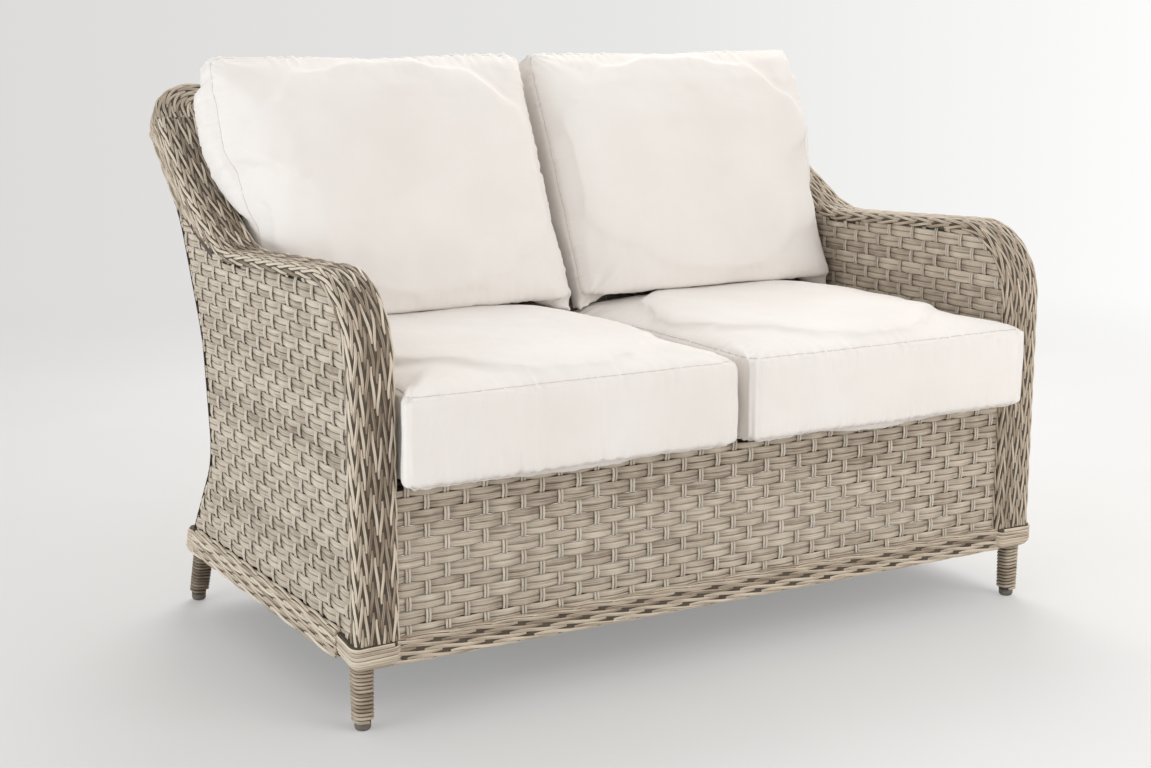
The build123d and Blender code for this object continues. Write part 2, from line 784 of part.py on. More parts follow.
def seat_outline(bottom_share, crown_share, inset):
    """Plan of a seat cushion at the bottom seam, on the crown or inside its cover."""
    all_round = inset + bottom_share * seat_bottom_inset
    across = all_round + crown_share * seat_crown_side
    ahead = all_round + crown_share * seat_crown_front
    left = seat_middle_gap / 2 + across
    right = arm_inner - seat_side_gap - across
    front = ahead - seat_front
    rear = seat_rear - all_round - crown_share * seat_crown_rear
    ear = seat_ear * (1 - crown_share * ear_shrink_share)
    ear_back = crown_share * seat_crown_front - post_front - seat_ear_gap - 3 * inset
    corners = [
        (left, front),
        (right + ear, front),
        (right + ear, ear_back - seat_ear_slope),
        (right, ear_back),
        (right, rear),
        (left, rear),
    ]
    draws = [seat_front_bulge, 0, 0, -side_draw, -side_draw, -side_draw]
    radii = [cushion_corner, ear_front_corner, ear_corner, ear_corner, cushion_corner, cushion_corner]
    return drawn_outline(corners, draws, [radius - inset for radius in radii])


def seat_levels(inset):
    """Heights of a seat cushion's sections with their shares of the bottom inset and of the crown."""
    bottom_seam = seat_bottom + seat_bottom_seam
    top_seam = bottom_seam + seat_boxing
    yield seat_bottom + inset, 1, 0
    yield bottom_seam, 0, 0
    yield top_seam, 0, 0
    for rise, share in zip(crown_rise_share, crown_inset_share):
        yield top_seam + rise * seat_crown - inset, 0, share


fill_inset = cover_thickness + fill_clearance
with BuildPart() as seat_cover:
    for height, bottom_share, crown_share in seat_levels(0):
        with BuildSketch(level(height)):
            add(seat_outline(bottom_share, crown_share, 0))
    loft(ruled=True)
    for height, bottom_share, crown_share in seat_levels(cover_thickness):
        with BuildSketch(level(height)):
            add(seat_outline(bottom_share, crown_share, cover_thickness))
    loft(ruled=True, mode=Mode.SUBTRACT)
save_pair(seat_cover.part, "seat_cushion_cover")

with BuildPart() as seat_fill:
    for height, bottom_share, crown_share in seat_levels(fill_inset):
        with BuildSketch(level(height)):
            add(seat_outline(bottom_share, crown_share, fill_inset))
    loft(ruled=True)
save_pair(seat_fill.part, "seat_cushion_fill")

# Back cushions: boxed, with a low belly, cut level where they stand on the seat cushions, and with a
# flare over the arms. Their planes lean with the small of the back.
back_cushion_bottom = seat_crown_top + fit
back_cushion_top = back_height + back_cushion_rise
back_cushion_rear = front_half + back_cushion_gap
back_cushion_front = back_cushion_rear + back_cushion_boxing
small_start = back_line[0][3]


def rise_to(height, reach):
    """How far up the lean a height lies, on the plane that is a distance in front of the back line."""
    return (height - small_start[1] - small_course[0] * reach) / small_course[1]


arm_meets_back = rise_to(wing_bend[1], back_cushion_rear)


def back_outline(rear_share, crown_share, inset):
    """Outline of a back cushion in its leaning plane, at the rear, on the seams or on the crown."""
    all_round = inset + rear_share * back_cushion_rear_inset
    across = all_round + crown_share * back_crown_side
    left = back_middle_gap / 2 + across
    right = arm_inner - seat_side_gap - across
    top = rise_to(back_cushion_top, back_cushion_front) - all_round - crown_share * back_crown_top
    stand = rise_to(back_cushion_bottom, back_cushion_front)
    bottom = stand - back_cushion_tuck + all_round + crown_share * back_crown_bottom
    flare = arm_meets_back + flare_clearance + all_round - crown_share * back_crown_bottom
    corners = [
        (left, bottom),
        (right, bottom),
        (right, flare),
        (right + back_cushion_flare, flare + flare_rise),
        (right + back_cushion_flare, top),
        (left, top),
    ]
    draws = [0, 0, 0, 0, -side_draw, -side_draw]
    radii = [cushion_corner, cushion_corner, flare_corner, flare_corner, cushion_corner, cushion_corner]
    return drawn_outline(corners, draws, [radius - inset for radius in radii])


def back_levels(inset):
    """Distances of a back cushion's sections with their shares of the rear inset and of the crown."""
    yield back_cushion_rear + inset, 1, 0
    yield back_cushion_rear + back_cushion_rear_seam, 0, 0
    yield back_cushion_front, 0, 0
    for rise, share in zip(crown_rise_share, crown_inset_share):
        yield back_cushion_front + rise * back_cushion_crown - inset, 0, share


with BuildPart() as back_cover:
    for reach, rear_share, crown_share in back_levels(0):
        with BuildSketch(cushion_plane(reach)):
            add(back_outline(rear_share, crown_share, 0))
    loft(ruled=True)
    split(bisect_by=level(back_cushion_bottom), keep=Keep.TOP)
    with BuildPart(mode=Mode.PRIVATE) as hollow:
        for reach, rear_share, crown_share in back_levels(cover_thickness):
            with BuildSketch(cushion_plane(reach)):
                add(back_outline(rear_share, crown_share, cover_thickness))
        loft(ruled=True)
        split(bisect_by=level(back_cushion_bottom + cover_thickness), keep=Keep.TOP)
    add(hollow.part, mode=Mode.SUBTRACT)
save_pair(back_cover.part, "back_cushion_cover")

with BuildPart() as back_fill:
    for reach, rear_share, crown_share in back_levels(fill_inset):
        with BuildSketch(cushion_plane(reach)):
            add(back_outline(rear_share, crown_share, fill_inset))
    loft(ruled=True)
    split(bisect_by=level(back_cushion_bottom + fill_inset), keep=Keep.TOP)
save_pair(back_fill.part, "back_cushion_fill")
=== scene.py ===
"""Patio loveseat: a welded frame under woven resin strands, with plaited edges and four boxed cushions."""
from math import atan2, ceil, cos, hypot, pi, radians, sin, tan

import bmesh
import bpy
import numpy as np
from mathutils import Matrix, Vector, noise
from mathutils.bvhtree import BVHTree


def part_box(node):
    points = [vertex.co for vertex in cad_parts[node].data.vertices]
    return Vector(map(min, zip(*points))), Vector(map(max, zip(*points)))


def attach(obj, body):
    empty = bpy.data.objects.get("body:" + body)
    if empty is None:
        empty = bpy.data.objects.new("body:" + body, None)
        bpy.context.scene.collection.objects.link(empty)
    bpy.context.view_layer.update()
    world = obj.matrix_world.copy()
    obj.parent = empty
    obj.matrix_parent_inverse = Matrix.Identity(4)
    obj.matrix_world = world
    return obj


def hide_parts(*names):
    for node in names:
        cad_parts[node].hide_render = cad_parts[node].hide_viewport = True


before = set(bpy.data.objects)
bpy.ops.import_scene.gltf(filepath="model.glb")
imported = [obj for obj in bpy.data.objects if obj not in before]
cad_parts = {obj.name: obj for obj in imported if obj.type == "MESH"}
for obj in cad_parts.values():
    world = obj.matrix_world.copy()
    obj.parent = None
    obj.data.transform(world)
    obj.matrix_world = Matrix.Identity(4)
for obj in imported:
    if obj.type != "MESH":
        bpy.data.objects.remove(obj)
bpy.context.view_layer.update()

mm = 0.001
chance = np.random.default_rng(11)

# Overall form of the woven body, as the frame carries it
arm_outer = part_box("arm_braid_right")[1][0]
arm_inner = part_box("arm_braid_right")[0][0]
post_front = 28.3 * mm
leg_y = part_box("arm_braid_right")[0][1] + post_front
arm_height = 716 * mm
arm_drop = 25 * mm
arm_radii = [135 * mm, 190 * mm, 350 * mm]
swoop_run = 160 * mm
wing_offset = 20 * mm
wing_seam_run = 28 * mm
wing_seam_slope = 0.41
back_reach = 907 * mm
back_height = 932 * mm
back_reach_shares = (0.839, 0.781, 0.633, 0.663, 0.772, 1.0)
back_height_shares = (0.0, 0.134, 0.329, 0.567, 0.795, 1.0)
back_radii = [200 * mm, 140 * mm, 300 * mm, 250 * mm]
rear_half = 21.3 * mm
front_half = 42.7 * mm
skin = 6 * mm
lip_depth = 18 * mm
arm_edge = 11 * mm
crest_leg = 90 * mm
crest_depth = 55 * mm
crest_corner = 85 * mm
crest_inner_corner = 14 * mm
crest_edge = 14 * mm

# Strands of the weave
band = 22.8 * mm
stake_pitch = 34 * mm
weft_width = 11.3 * mm
weft_thickness = 1.9 * mm
weft_depth = 2.0 * mm
stake_width = 4.6 * mm
stake_thickness = 2.6 * mm
stake_depth = 1.9 * mm
stake_spread = 5.2 * mm
first_stake = -593.5 * mm
first_band = 307.7 * mm
tuck = 5 * mm
# Dark strips behind the weave: painted shade of the hollow behind it
painted_shade_backing_width = 23.4 * mm
painted_shade_backing_thickness = 0.6 * mm
painted_shade_backing_depth = 3.3 * mm
side_corner = 5 * mm
side_return = 8 * mm
back_spacing = 8 * mm

# Strands of the plaited columns and ropes
column_pitch = 9.0 * mm
column_swing = 2.5 * mm
column_lift = 1.4 * mm
column_period = 98 * mm
column_width = 4.9 * mm
column_thickness = 3.2 * mm
rope_period = 150 * mm


def direction(start, end):
    run, rise = end[0] - start[0], end[1] - start[1]
    length = hypot(run, rise)
    return run / length, rise / length


def along(start, end, distance):
    run, rise = direction(start, end)
    return start[0] + run * distance, start[1] + rise * distance


def beside(line, distance):
    """The same line moved to its right."""
    points, radii = line
    courses = [direction(a, b) for a, b in zip(points, points[1:])]
    (run, rise), (last_run, last_rise) = courses[0], courses[-1]
    shifted = [(points[0][0] + rise * distance, points[0][1] - run * distance)]
    turned = []
    for corner, before, after, radius in zip(points[1:-1], courses, courses[1:], radii):
        turn = atan2(after[1], after[0]) - atan2(before[1], before[0])
        reach = distance * tan(turn / 2)
        shifted.append(
            (
                corner[0] + before[1] * distance + before[0] * reach,
                corner[1] - before[0] * distance + before[1] * reach,
            )
        )
        turned.append(radius + (distance if turn > 0 else -distance))
    end = points[-1]
    shifted.append((end[0] + last_rise * distance, end[1] - last_run * distance))
    return shifted, turned


def ending(line, margin):
    """The same line, drawn back from its last point."""
    points, radii = line
    return points[:-1] + [along(points[-1], points[-2], margin)], radii


class Course:
    """A line with rounded corners as close points, with their distance along it."""

    def __init__(self, line, step=3 * mm):
        points, radii = line
        places = [points[0]]
        for before, corner, after, radius in zip(points, points[1:-1], points[2:], radii):
            first, second = direction(before, corner), direction(corner, after)
            turn = atan2(
                first[0] * second[1] - first[1] * second[0], first[0] * second[0] + first[1] * second[1]
            )
            reach = radius * tan(abs(turn) / 2)
            hand = 1 if turn > 0 else -1
            start = corner[0] - first[0] * reach, corner[1] - first[1] * reach
            centre = start[0] - first[1] * radius * hand, start[1] + first[0] * radius * hand
            arm = start[0] - centre[0], start[1] - centre[1]
            for angle in np.linspace(0, turn, max(3, ceil(radius * abs(turn) / step))):
                places.append(
                    (
                        centre[0] + arm[0] * cos(angle) - arm[1] * sin(angle),
                        centre[1] + arm[0] * sin(angle) + arm[1] * cos(angle),
                    )
                )
        places.append(points[-1])
        self.places = np.array(places)
        runs = np.hypot(*np.diff(self.places, axis=0).T)
        self.stations = np.concatenate([[0], np.cumsum(runs)])
        self.length = self.stations[-1]

    def at(self, stations):
        return np.stack([np.interp(stations, self.stations, self.places[:, i]) for i in (0, 1)], -1)

    def left(self, stations):
        """Unit vectors to the left of the line."""
        ahead = self.at(np.asarray(stations) + mm) - self.at(np.asarray(stations) - mm)
        ahead /= np.linalg.norm(ahead, axis=-1, keepdims=True)
        return np.stack([-ahead[..., 1], ahead[..., 0]], -1)

    def station_at(self, height):
        """Where a rising line passes a height."""
        return np.interp(height, self.places[:, 1], self.stations)

    def steps(self, start=0, end=None, spacing=4 * mm):
        end = self.length if end is None else end
        return np.linspace(start, end, max(2, ceil(abs(end - start) / spacing) + 1))


# Lines of the side profile
back_line = (
    [(back_reach * y, back_height * z) for y, z in zip(back_reach_shares, back_height_shares)],
    back_radii,
)
crest_course = direction(back_line[0][-2], back_line[0][-1])
back_front = beside(back_line, -front_half)
wing_bend = along(back_front[0][-2], back_front[0][-1], wing_offset)
arm_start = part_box("arm_braid_right")[0][2]
wing_end = beside(ending(back_line, crest_leg), -front_half)[0][-1]
arm_line = (
    [
        (-post_front, arm_start),
        (-post_front, arm_height),
        (wing_bend[0] - swoop_run, arm_height - arm_drop),
        wing_bend,
        wing_end,
    ],
    arm_radii,
)


class Guides:
    """Lines for strands to follow, with the way out of their surface and their place in the pattern."""

    def __init__(self):
        self.points, self.outward, self.edges = [], [], []
        self.values = {"station": [], "phase": [], "hand": [], "shade": []}
        self.count = 0

    def add(self, points, outward, station=None, phase=0.0, hand=1.0, shade=None):
        points = np.asarray(points, float)
        size = len(points)
        if station is None:
            station = np.concatenate([[0], np.cumsum(np.linalg.norm(np.diff(points, axis=0), axis=1))])
        if shade is None:
            shade = 0.5 + 0.12 * chance.standard_normal()
        self.points.append(points)
        self.outward.append(np.broadcast_to(np.asarray(outward, float), points.shape))
        for key, value in (("station", station), ("phase", phase), ("hand", hand), ("shade", shade)):
            self.values[key].append(np.broadcast_to(np.asarray(value, float), (size,)))
        steps = np.arange(self.count, self.count + size - 1)
        self.edges.append(np.stack([steps, steps + 1], -1))
        self.count += size

    def twist(self, points, outward, station=None, hand=1.0, turn=0.0):
        """Two strands that wind round each other."""
        for phase in (turn, turn + pi):
            self.add(points, outward, station, phase, hand)

    def mirrored(self):
        other = Guides()
        flip = np.array([-1, 1, 1])
        other.points = [points * flip for points in self.points]
        other.outward = [outward * flip for outward in self.outward]
        other.edges, other.count = self.edges, self.count
        other.values = dict(self.values, hand=[-hand for hand in self.values["hand"]])
        other.values["shade"] = [np.full_like(shade, chance.random()) for shade in self.values["shade"]]
        return other


# Node helpers
def node(tree, kind, inputs=(), **settings):
    """A node with its settings, whose inputs are values or other nodes' outputs."""
    made = tree.nodes.new(kind)
    for key, value in settings.items():
        setattr(made, key, value)
    for key, value in dict(inputs).items():
        if isinstance(value, bpy.types.NodeSocket):
            tree.links.new(value, made.inputs[key])
        else:
            made.inputs[key].default_value = value
    return made


def shown(made):
    return next(output for output in made.outputs if output.enabled)


def calc(tree, operation, first, second=0.0, third=0.0):
    return node(tree, "ShaderNodeMath", {0: first, 1: second, 2: third}, operation=operation).outputs[0]


def vector(tree, operation, first, second=None, scale=None):
    inputs = {0: first}
    if second is not None:
        inputs[1] = second
    if scale is not None:
        inputs["Scale"] = scale
    return node(tree, "ShaderNodeVectorMath", inputs, operation=operation).outputs[0]


def strand_tree():
    """Strands swept along guides, weaving out of their surface and winding from side to side."""
    tree = bpy.data.node_groups.new("strands on guides", "GeometryNodeTree")
    face = tree.interface
    face.new_socket("Guides", in_out="INPUT", socket_type="NodeSocketGeometry")
    for name in ("Width", "Thickness", "Squareness", "Swing", "Lift", "Period", "Spacing"):
        face.new_socket(name, in_out="INPUT", socket_type="NodeSocketFloat")
    face.new_socket("Corners", in_out="INPUT", socket_type="NodeSocketInt")
    face.new_socket("Finish", in_out="INPUT", socket_type="NodeSocketMaterial")
    face.new_socket("Strands", in_out="OUTPUT", socket_type="NodeSocketGeometry")
    given = node(tree, "NodeGroupInput").outputs

    def attribute(name, kind="FLOAT"):
        return shown(node(tree, "GeometryNodeInputNamedAttribute", {"Name": name}, data_type=kind))

    curve = node(tree, "GeometryNodeMeshToCurve", {"Mesh": given["Guides"]}).outputs[0]
    curve = node(
        tree, "GeometryNodeResampleCurve", {"Curve": curve, "Length": given["Spacing"]}, mode="LENGTH"
    ).outputs[0]
    turns = calc(tree, "DIVIDE", attribute("station"), given["Period"])
    angle = calc(tree, "MULTIPLY_ADD", turns, 2 * pi, attribute("phase"))
    outward = attribute("outward", "FLOAT_VECTOR")
    tangent = node(tree, "GeometryNodeInputTangent").outputs[0]
    sideways = vector(tree, "CROSS_PRODUCT", tangent, outward)
    rise = calc(tree, "MULTIPLY", calc(tree, "COSINE", angle), given["Lift"])
    sway = calc(tree, "MULTIPLY", calc(tree, "SINE", angle), given["Swing"])
    sway = calc(tree, "MULTIPLY", sway, attribute("hand"))
    offset = vector(
        tree,
        "ADD",
        vector(tree, "SCALE", outward, scale=rise),
        vector(tree, "SCALE", sideways, scale=sway),
    )
    # Height of the strand in its weave; the strand material reads it to paint shade where the strand dips
    # under its neighbours
    stored = node(
        tree,
        "GeometryNodeStoreNamedAttribute",
        {"Geometry": curve, "Name": "height", "Value": calc(tree, "COSINE", angle)},
        data_type="FLOAT",
        domain="POINT",
    ).outputs[0]
    moved = node(tree, "GeometryNodeSetPosition", {"Geometry": stored, "Offset": offset}).outputs[0]
    facing = node(
        tree, "GeometryNodeSetCurveNormal", {"Curve": moved, "Normal": outward}, mode="FREE"
    ).outputs[0]

    circle = node(
        tree, "GeometryNodeCurvePrimitiveCircle", {"Resolution": given["Corners"], "Radius": 1.0},
        mode="RADIUS",
    ).outputs[0]
    corner = node(tree, "ShaderNodeSeparateXYZ", {0: node(tree, "GeometryNodeInputPosition").outputs[0]})

    def squared(value, size):
        power = calc(tree, "POWER", calc(tree, "ABSOLUTE", value), given["Squareness"])
        half = calc(tree, "MULTIPLY", calc(tree, "MULTIPLY", power, calc(tree, "SIGN", value)), size)
        return calc(tree, "MULTIPLY", half, 1 / 2)

    across = squared(corner.outputs[0], given["Width"])
    through = squared(corner.outputs[1], given["Thickness"])
    shape = node(tree, "ShaderNodeCombineXYZ", {0: through, 1: across}).outputs[0]
    profile = node(
        tree,
        "GeometryNodeStoreNamedAttribute",
        {"Geometry": circle, "Name": "across", "Value": across},
        data_type="FLOAT",
        domain="POINT",
    ).outputs[0]
    profile = node(tree, "GeometryNodeSetPosition", {"Geometry": profile, "Position": shape}).outputs[0]
    swept = node(
        tree,
        "GeometryNodeCurveToMesh",
        {"Curve": facing, "Profile Curve": profile, "Fill Caps": True},
    ).outputs[0]
    smooth = node(tree, "GeometryNodeSetShadeSmooth", {"Geometry": swept, "Shade Smooth": True}).outputs[0]
    real = node(tree, "GeometryNodeRealizeInstances", {"Geometry": smooth}).outputs[0]
    finished = node(
        tree, "GeometryNodeSetMaterial", {"Geometry": real, "Material": given["Finish"]}
    ).outputs[0]
    node(tree, "NodeGroupOutput", {0: finished})
    return tree


strand_nodes = strand_tree()


def place(name, mesh):
    piece = bpy.data.objects.new(name, mesh)
    bpy.context.scene.collection.objects.link(piece)
    return piece


def evaluated(piece):
    """A plain mesh of a piece with its modifiers applied."""
    graph = bpy.context.evaluated_depsgraph_get()
    return bpy.data.meshes.new_from_object(piece.evaluated_get(graph), depsgraph=graph)


def strands(name, guides, finish, width, thickness, lift=0.0, swing=0.0, period=1.0, spacing=6 * mm,
            corners=6, squareness=0.7, stands_for=(), slot="wicker", body="frame"):
    """One piece of strands along its guides."""
    mesh = bpy.data.meshes.new(name)
    points, edges = np.concatenate(guides.points), np.concatenate(guides.edges)
    mesh.from_pydata(points.tolist(), edges.tolist(), [])
    outward = mesh.attributes.new("outward", "FLOAT_VECTOR", "POINT")
    outward.data.foreach_set("vector", np.concatenate(guides.outward).ravel())
    for key, values in guides.values.items():
        mesh.attributes.new(key, "FLOAT", "POINT").data.foreach_set("value", np.concatenate(values))
    piece = place(name, mesh)
    sweep = piece.modifiers.new("strands", "NODES")
    sweep.node_group = strand_nodes
    values = {
        "Width": width, "Thickness": thickness, "Squareness": squareness, "Swing": swing, "Lift": lift,
        "Period": period, "Spacing": spacing, "Corners": corners, "Finish": finish,
    }
    for socket in strand_nodes.interface.items_tree:
        if socket.in_out == "INPUT" and socket.name in values:
            sweep[socket.identifier] = values[socket.name]
    swept = evaluated(piece)
    for key in ("outward", "phase", "hand"):
        swept.attributes.remove(swept.attributes[key])
    piece.modifiers.remove(sweep)
    piece.data = swept
    bpy.data.meshes.remove(mesh)
    swept.name = name
    swept.materials.clear()
    swept.materials.append(finish)
    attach(piece, body)
    if stands_for:
        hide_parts(*stands_for)
    print(name, "triangles", sum(len(face.vertices) - 2 for face in swept.polygons))
    return piece


# Materials
def material(name, roughness=0.5, **values):
    made = bpy.data.materials.new(name)
    made.use_nodes = True
    tree = made.node_tree
    shader = tree.nodes["Principled BSDF"]
    shader.inputs["Roughness"].default_value = roughness
    for key, value in values.items():
        shader.inputs[key.replace("_", " ")].default_value = value
    return made, tree, shader


def attribute(tree, name):
    return node(tree, "ShaderNodeAttribute", attribute_name=name, attribute_type="GEOMETRY").outputs["Fac"]


def ramp(tree, factor, stops):
    made = node(tree, "ShaderNodeValToRGB", {0: factor})
    while len(made.color_ramp.elements) < len(stops):
        made.color_ramp.elements.new(0.5)
    for element, (position, colour) in zip(made.color_ramp.elements, stops):
        element.position = position
        element.color = (*colour, 1.0)
    return made.outputs[0]


def cloudy(tree, place_on, scale, detail=2.0):
    return node(
        tree, "ShaderNodeTexNoise", {"Vector": place_on, "Scale": scale, "Detail": detail}
    ).outputs[0]


def bump(tree, shader, height, distance, strength=1.0):
    made = node(tree, "ShaderNodeBump", {"Height": height, "Distance": distance, "Strength": strength})
    tree.links.new(made.outputs[0], shader.inputs["Normal"])


def strand_material(name, dark, middle, light, contrast=1.0, rim=0.0, half=2.5 * mm):
    """Extruded resin strand: fine ribs and streaks along it and its own tone, with painted shade where it
    dips under its neighbours and, where rim is given, a painted highlight along its edges.
    """
    made, tree, shader = material(name, roughness=0.52, Specular_IOR_Level=0.35)
    across, station, shade = (attribute(tree, key) for key in ("across", "station", "shade"))
    height = attribute(tree, "height")
    place_on = node(
        tree,
        "ShaderNodeCombineXYZ",
        {0: calc(tree, "MULTIPLY", across, 900), 1: calc(tree, "MULTIPLY", station, 14),
         2: calc(tree, "MULTIPLY", shade, 61)},
    ).outputs[0]
    streak = cloudy(tree, place_on, 1.0, 3.0)
    slow_place = node(
        tree, "ShaderNodeCombineXYZ",
        {1: calc(tree, "MULTIPLY", station, 22), 2: calc(tree, "MULTIPLY", shade, 37)},
    ).outputs[0]
    slow = cloudy(tree, slow_place, 1.0)
    mixed = calc(tree, "MULTIPLY_ADD", calc(tree, "SUBTRACT", streak, 0.5), 0.9 * contrast, shade)
    mixed = calc(tree, "MULTIPLY_ADD", calc(tree, "SUBTRACT", slow, 0.5), 0.5 * contrast, mixed)
    # Painted shade: the strand is darker where it dips under its neighbours
    mixed = calc(tree, "MULTIPLY_ADD", height, 0.08, mixed)
    # Painted highlight: the strand's edges are made paler, as where light catches them
    if rim:
        edge = node(
            tree, "ShaderNodeMapRange",
            {"Value": calc(tree, "ABSOLUTE", across), "From Min": half * 0.45, "From Max": half * 0.85},
            interpolation_type="SMOOTHSTEP",
        ).outputs[0]
        mixed = calc(tree, "MULTIPLY_ADD", edge, rim, mixed)
    colour = ramp(tree, mixed, ((0.0, dark), (0.45, middle), (1.0, light)))
    tree.links.new(colour, shader.inputs["Base Color"])
    rib = calc(tree, "SINE", calc(tree, "MULTIPLY", across, 2 * pi / (1.5 * mm)))
    relief = calc(tree, "MULTIPLY_ADD", rib, 0.35, streak)
    bump(tree, shader, relief, 0.25 * mm, 0.7)
    return made


weft_finish = strand_material(
    "weft resin", (0.20, 0.155, 0.112), (0.465, 0.393, 0.31), (0.67, 0.595, 0.49), 1.8
)
stake_finish = strand_material(
    "stake resin", (0.38, 0.325, 0.26), (0.55, 0.49, 0.405), (0.70, 0.64, 0.55), 1.2
)
# Braid strands are browner than the weave and also darkened to paint the shade in the plait's crevices; the
# rim paints a highlight along each strand's edges
braid_finish = strand_material(
    "braid resin", (0.16, 0.115, 0.078), (0.385, 0.308, 0.23), (0.70, 0.61, 0.49), 1.5, 0.35
)
wrap_finish = strand_material(
    "leg wrap resin", (0.15, 0.11, 0.075), (0.35, 0.28, 0.205), (0.62, 0.54, 0.435), 2.0
)


def mottled(name, dark, light, scale, roughness, relief, **values):
    """Plain surface with fine cloudy variation and grain, on the piece's own place."""
    made, tree, shader = material(name, roughness=roughness, **values)
    spot = node(tree, "ShaderNodeTexCoord").outputs["Object"]
    cloud = cloudy(tree, spot, scale, 4.0)
    tree.links.new(ramp(tree, cloud, ((0.3, dark), (0.7, light))), shader.inputs["Base Color"])
    grain = cloudy(tree, spot, scale * 12)
    bump(tree, shader, grain, relief)
    return made


# Painted shade: the cores under the braids, borders, collars and leg windings, and the strips behind the
# weave, are near black-brown to stand for the shade between and behind the strands
shade_painted_core_finish = mottled("resin core painted as shade", (0.06, 0.045, 0.032), (0.10, 0.078, 0.056), 60, 0.8, 0.3 * mm)
metal_finish = mottled("bronze powder coat", (0.05, 0.04, 0.032), (0.075, 0.062, 0.05), 90, 0.45, 0.06 * mm)
glide_finish = mottled("moulded glide", (0.10, 0.085, 0.07), (0.17, 0.15, 0.125), 140, 0.5, 0.1 * mm)


def webbing_material():
    made, tree, shader = material("elastic webbing", roughness=0.8)
    spot = node(tree, "ShaderNodeTexCoord").outputs["Object"]
    weave = node(tree, "ShaderNodeTexWave", {"Vector": spot, "Scale": 140.0, "Distortion": 0.6},
                 bands_direction="DIAGONAL").outputs["Fac"]
    tree.links.new(ramp(tree, weave, ((0.2, (0.035, 0.032, 0.03)), (0.8, (0.07, 0.064, 0.058)))),
                   shader.inputs["Base Color"])
    bump(tree, shader, weave, 0.3 * mm)
    return made


webbing_finish = webbing_material()


def cloth_material():
    """Solution-dyed canvas: a fine plain weave, soft and a little fuzzy."""
    made, tree, shader = material("cushion canvas", roughness=0.85, Sheen_Weight=0.25, Sheen_Roughness=0.5)
    spot = node(tree, "ShaderNodeTexCoord").outputs["Object"]
    soft = cloudy(tree, spot, 5.0, 3.0)
    fine = cloudy(tree, spot, 700.0)
    mixed = calc(tree, "MULTIPLY_ADD", calc(tree, "SUBTRACT", fine, 0.5), 0.35, soft)
    canvas = ramp(tree, mixed, ((0.25, (0.825, 0.78, 0.74)), (0.75, (0.885, 0.85, 0.815))))
    tree.links.new(canvas, shader.inputs["Base Color"])
    threads = [
        node(tree, "ShaderNodeTexWave", {"Vector": spot, "Scale": 330.0, "Distortion": 0.4, "Detail": 1.0},
             bands_direction=way).outputs["Fac"]
        for way in ("X", "Y", "Z")
    ]
    weave = calc(tree, "ADD", calc(tree, "ADD", threads[0], threads[1]), threads[2])
    weave = calc(tree, "MULTIPLY_ADD", fine, 0.8, weave)
    bump(tree, shader, weave, 0.12 * mm, 0.6)
    return made


cloth_finish = cloth_material()
seam_finish = mottled("seam thread", (0.60, 0.54, 0.50), (0.72, 0.66, 0.62), 400, 0.8, 0.1 * mm)


# Spans of the CAD plates, so that strands end where the plates do
def triangles(name):
    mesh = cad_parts[name].data
    places = np.empty(len(mesh.vertices) * 3)
    mesh.vertices.foreach_get("co", places)
    mesh.calc_loop_triangles()
    corners = np.empty(len(mesh.loop_triangles) * 3, int)
    mesh.loop_triangles.foreach_get("vertices", corners)
    return places.reshape(-1, 3)[corners].reshape(-1, 3, 3)


def spans(plate, axis, level, way):
    """Stretches of a plate where it meets a level on one axis, measured along another."""
    heights = plate[:, :, axis] - level
    cut = plate[(heights.min(1) < 0) & (heights.max(1) > 0)]
    found = []
    for corners in cut:
        crossings = []
        for start, end in ((0, 1), (1, 2), (2, 0)):
            first, second = corners[start, axis] - level, corners[end, axis] - level
            if first * second < 0:
                share = first / (first - second)
                crossings.append(corners[start, way] + share * (corners[end, way] - corners[start, way]))
        if len(crossings) == 2:
            found.append(sorted(crossings))
    merged = []
    for start, end in sorted(found):
        if merged and start <= merged[-1][1] + mm:
            merged[-1][1] = max(merged[-1][1], end)
        else:
            merged.append([start, end])
    return [(start, end) for start, end in merged if end - start > 4 * mm]


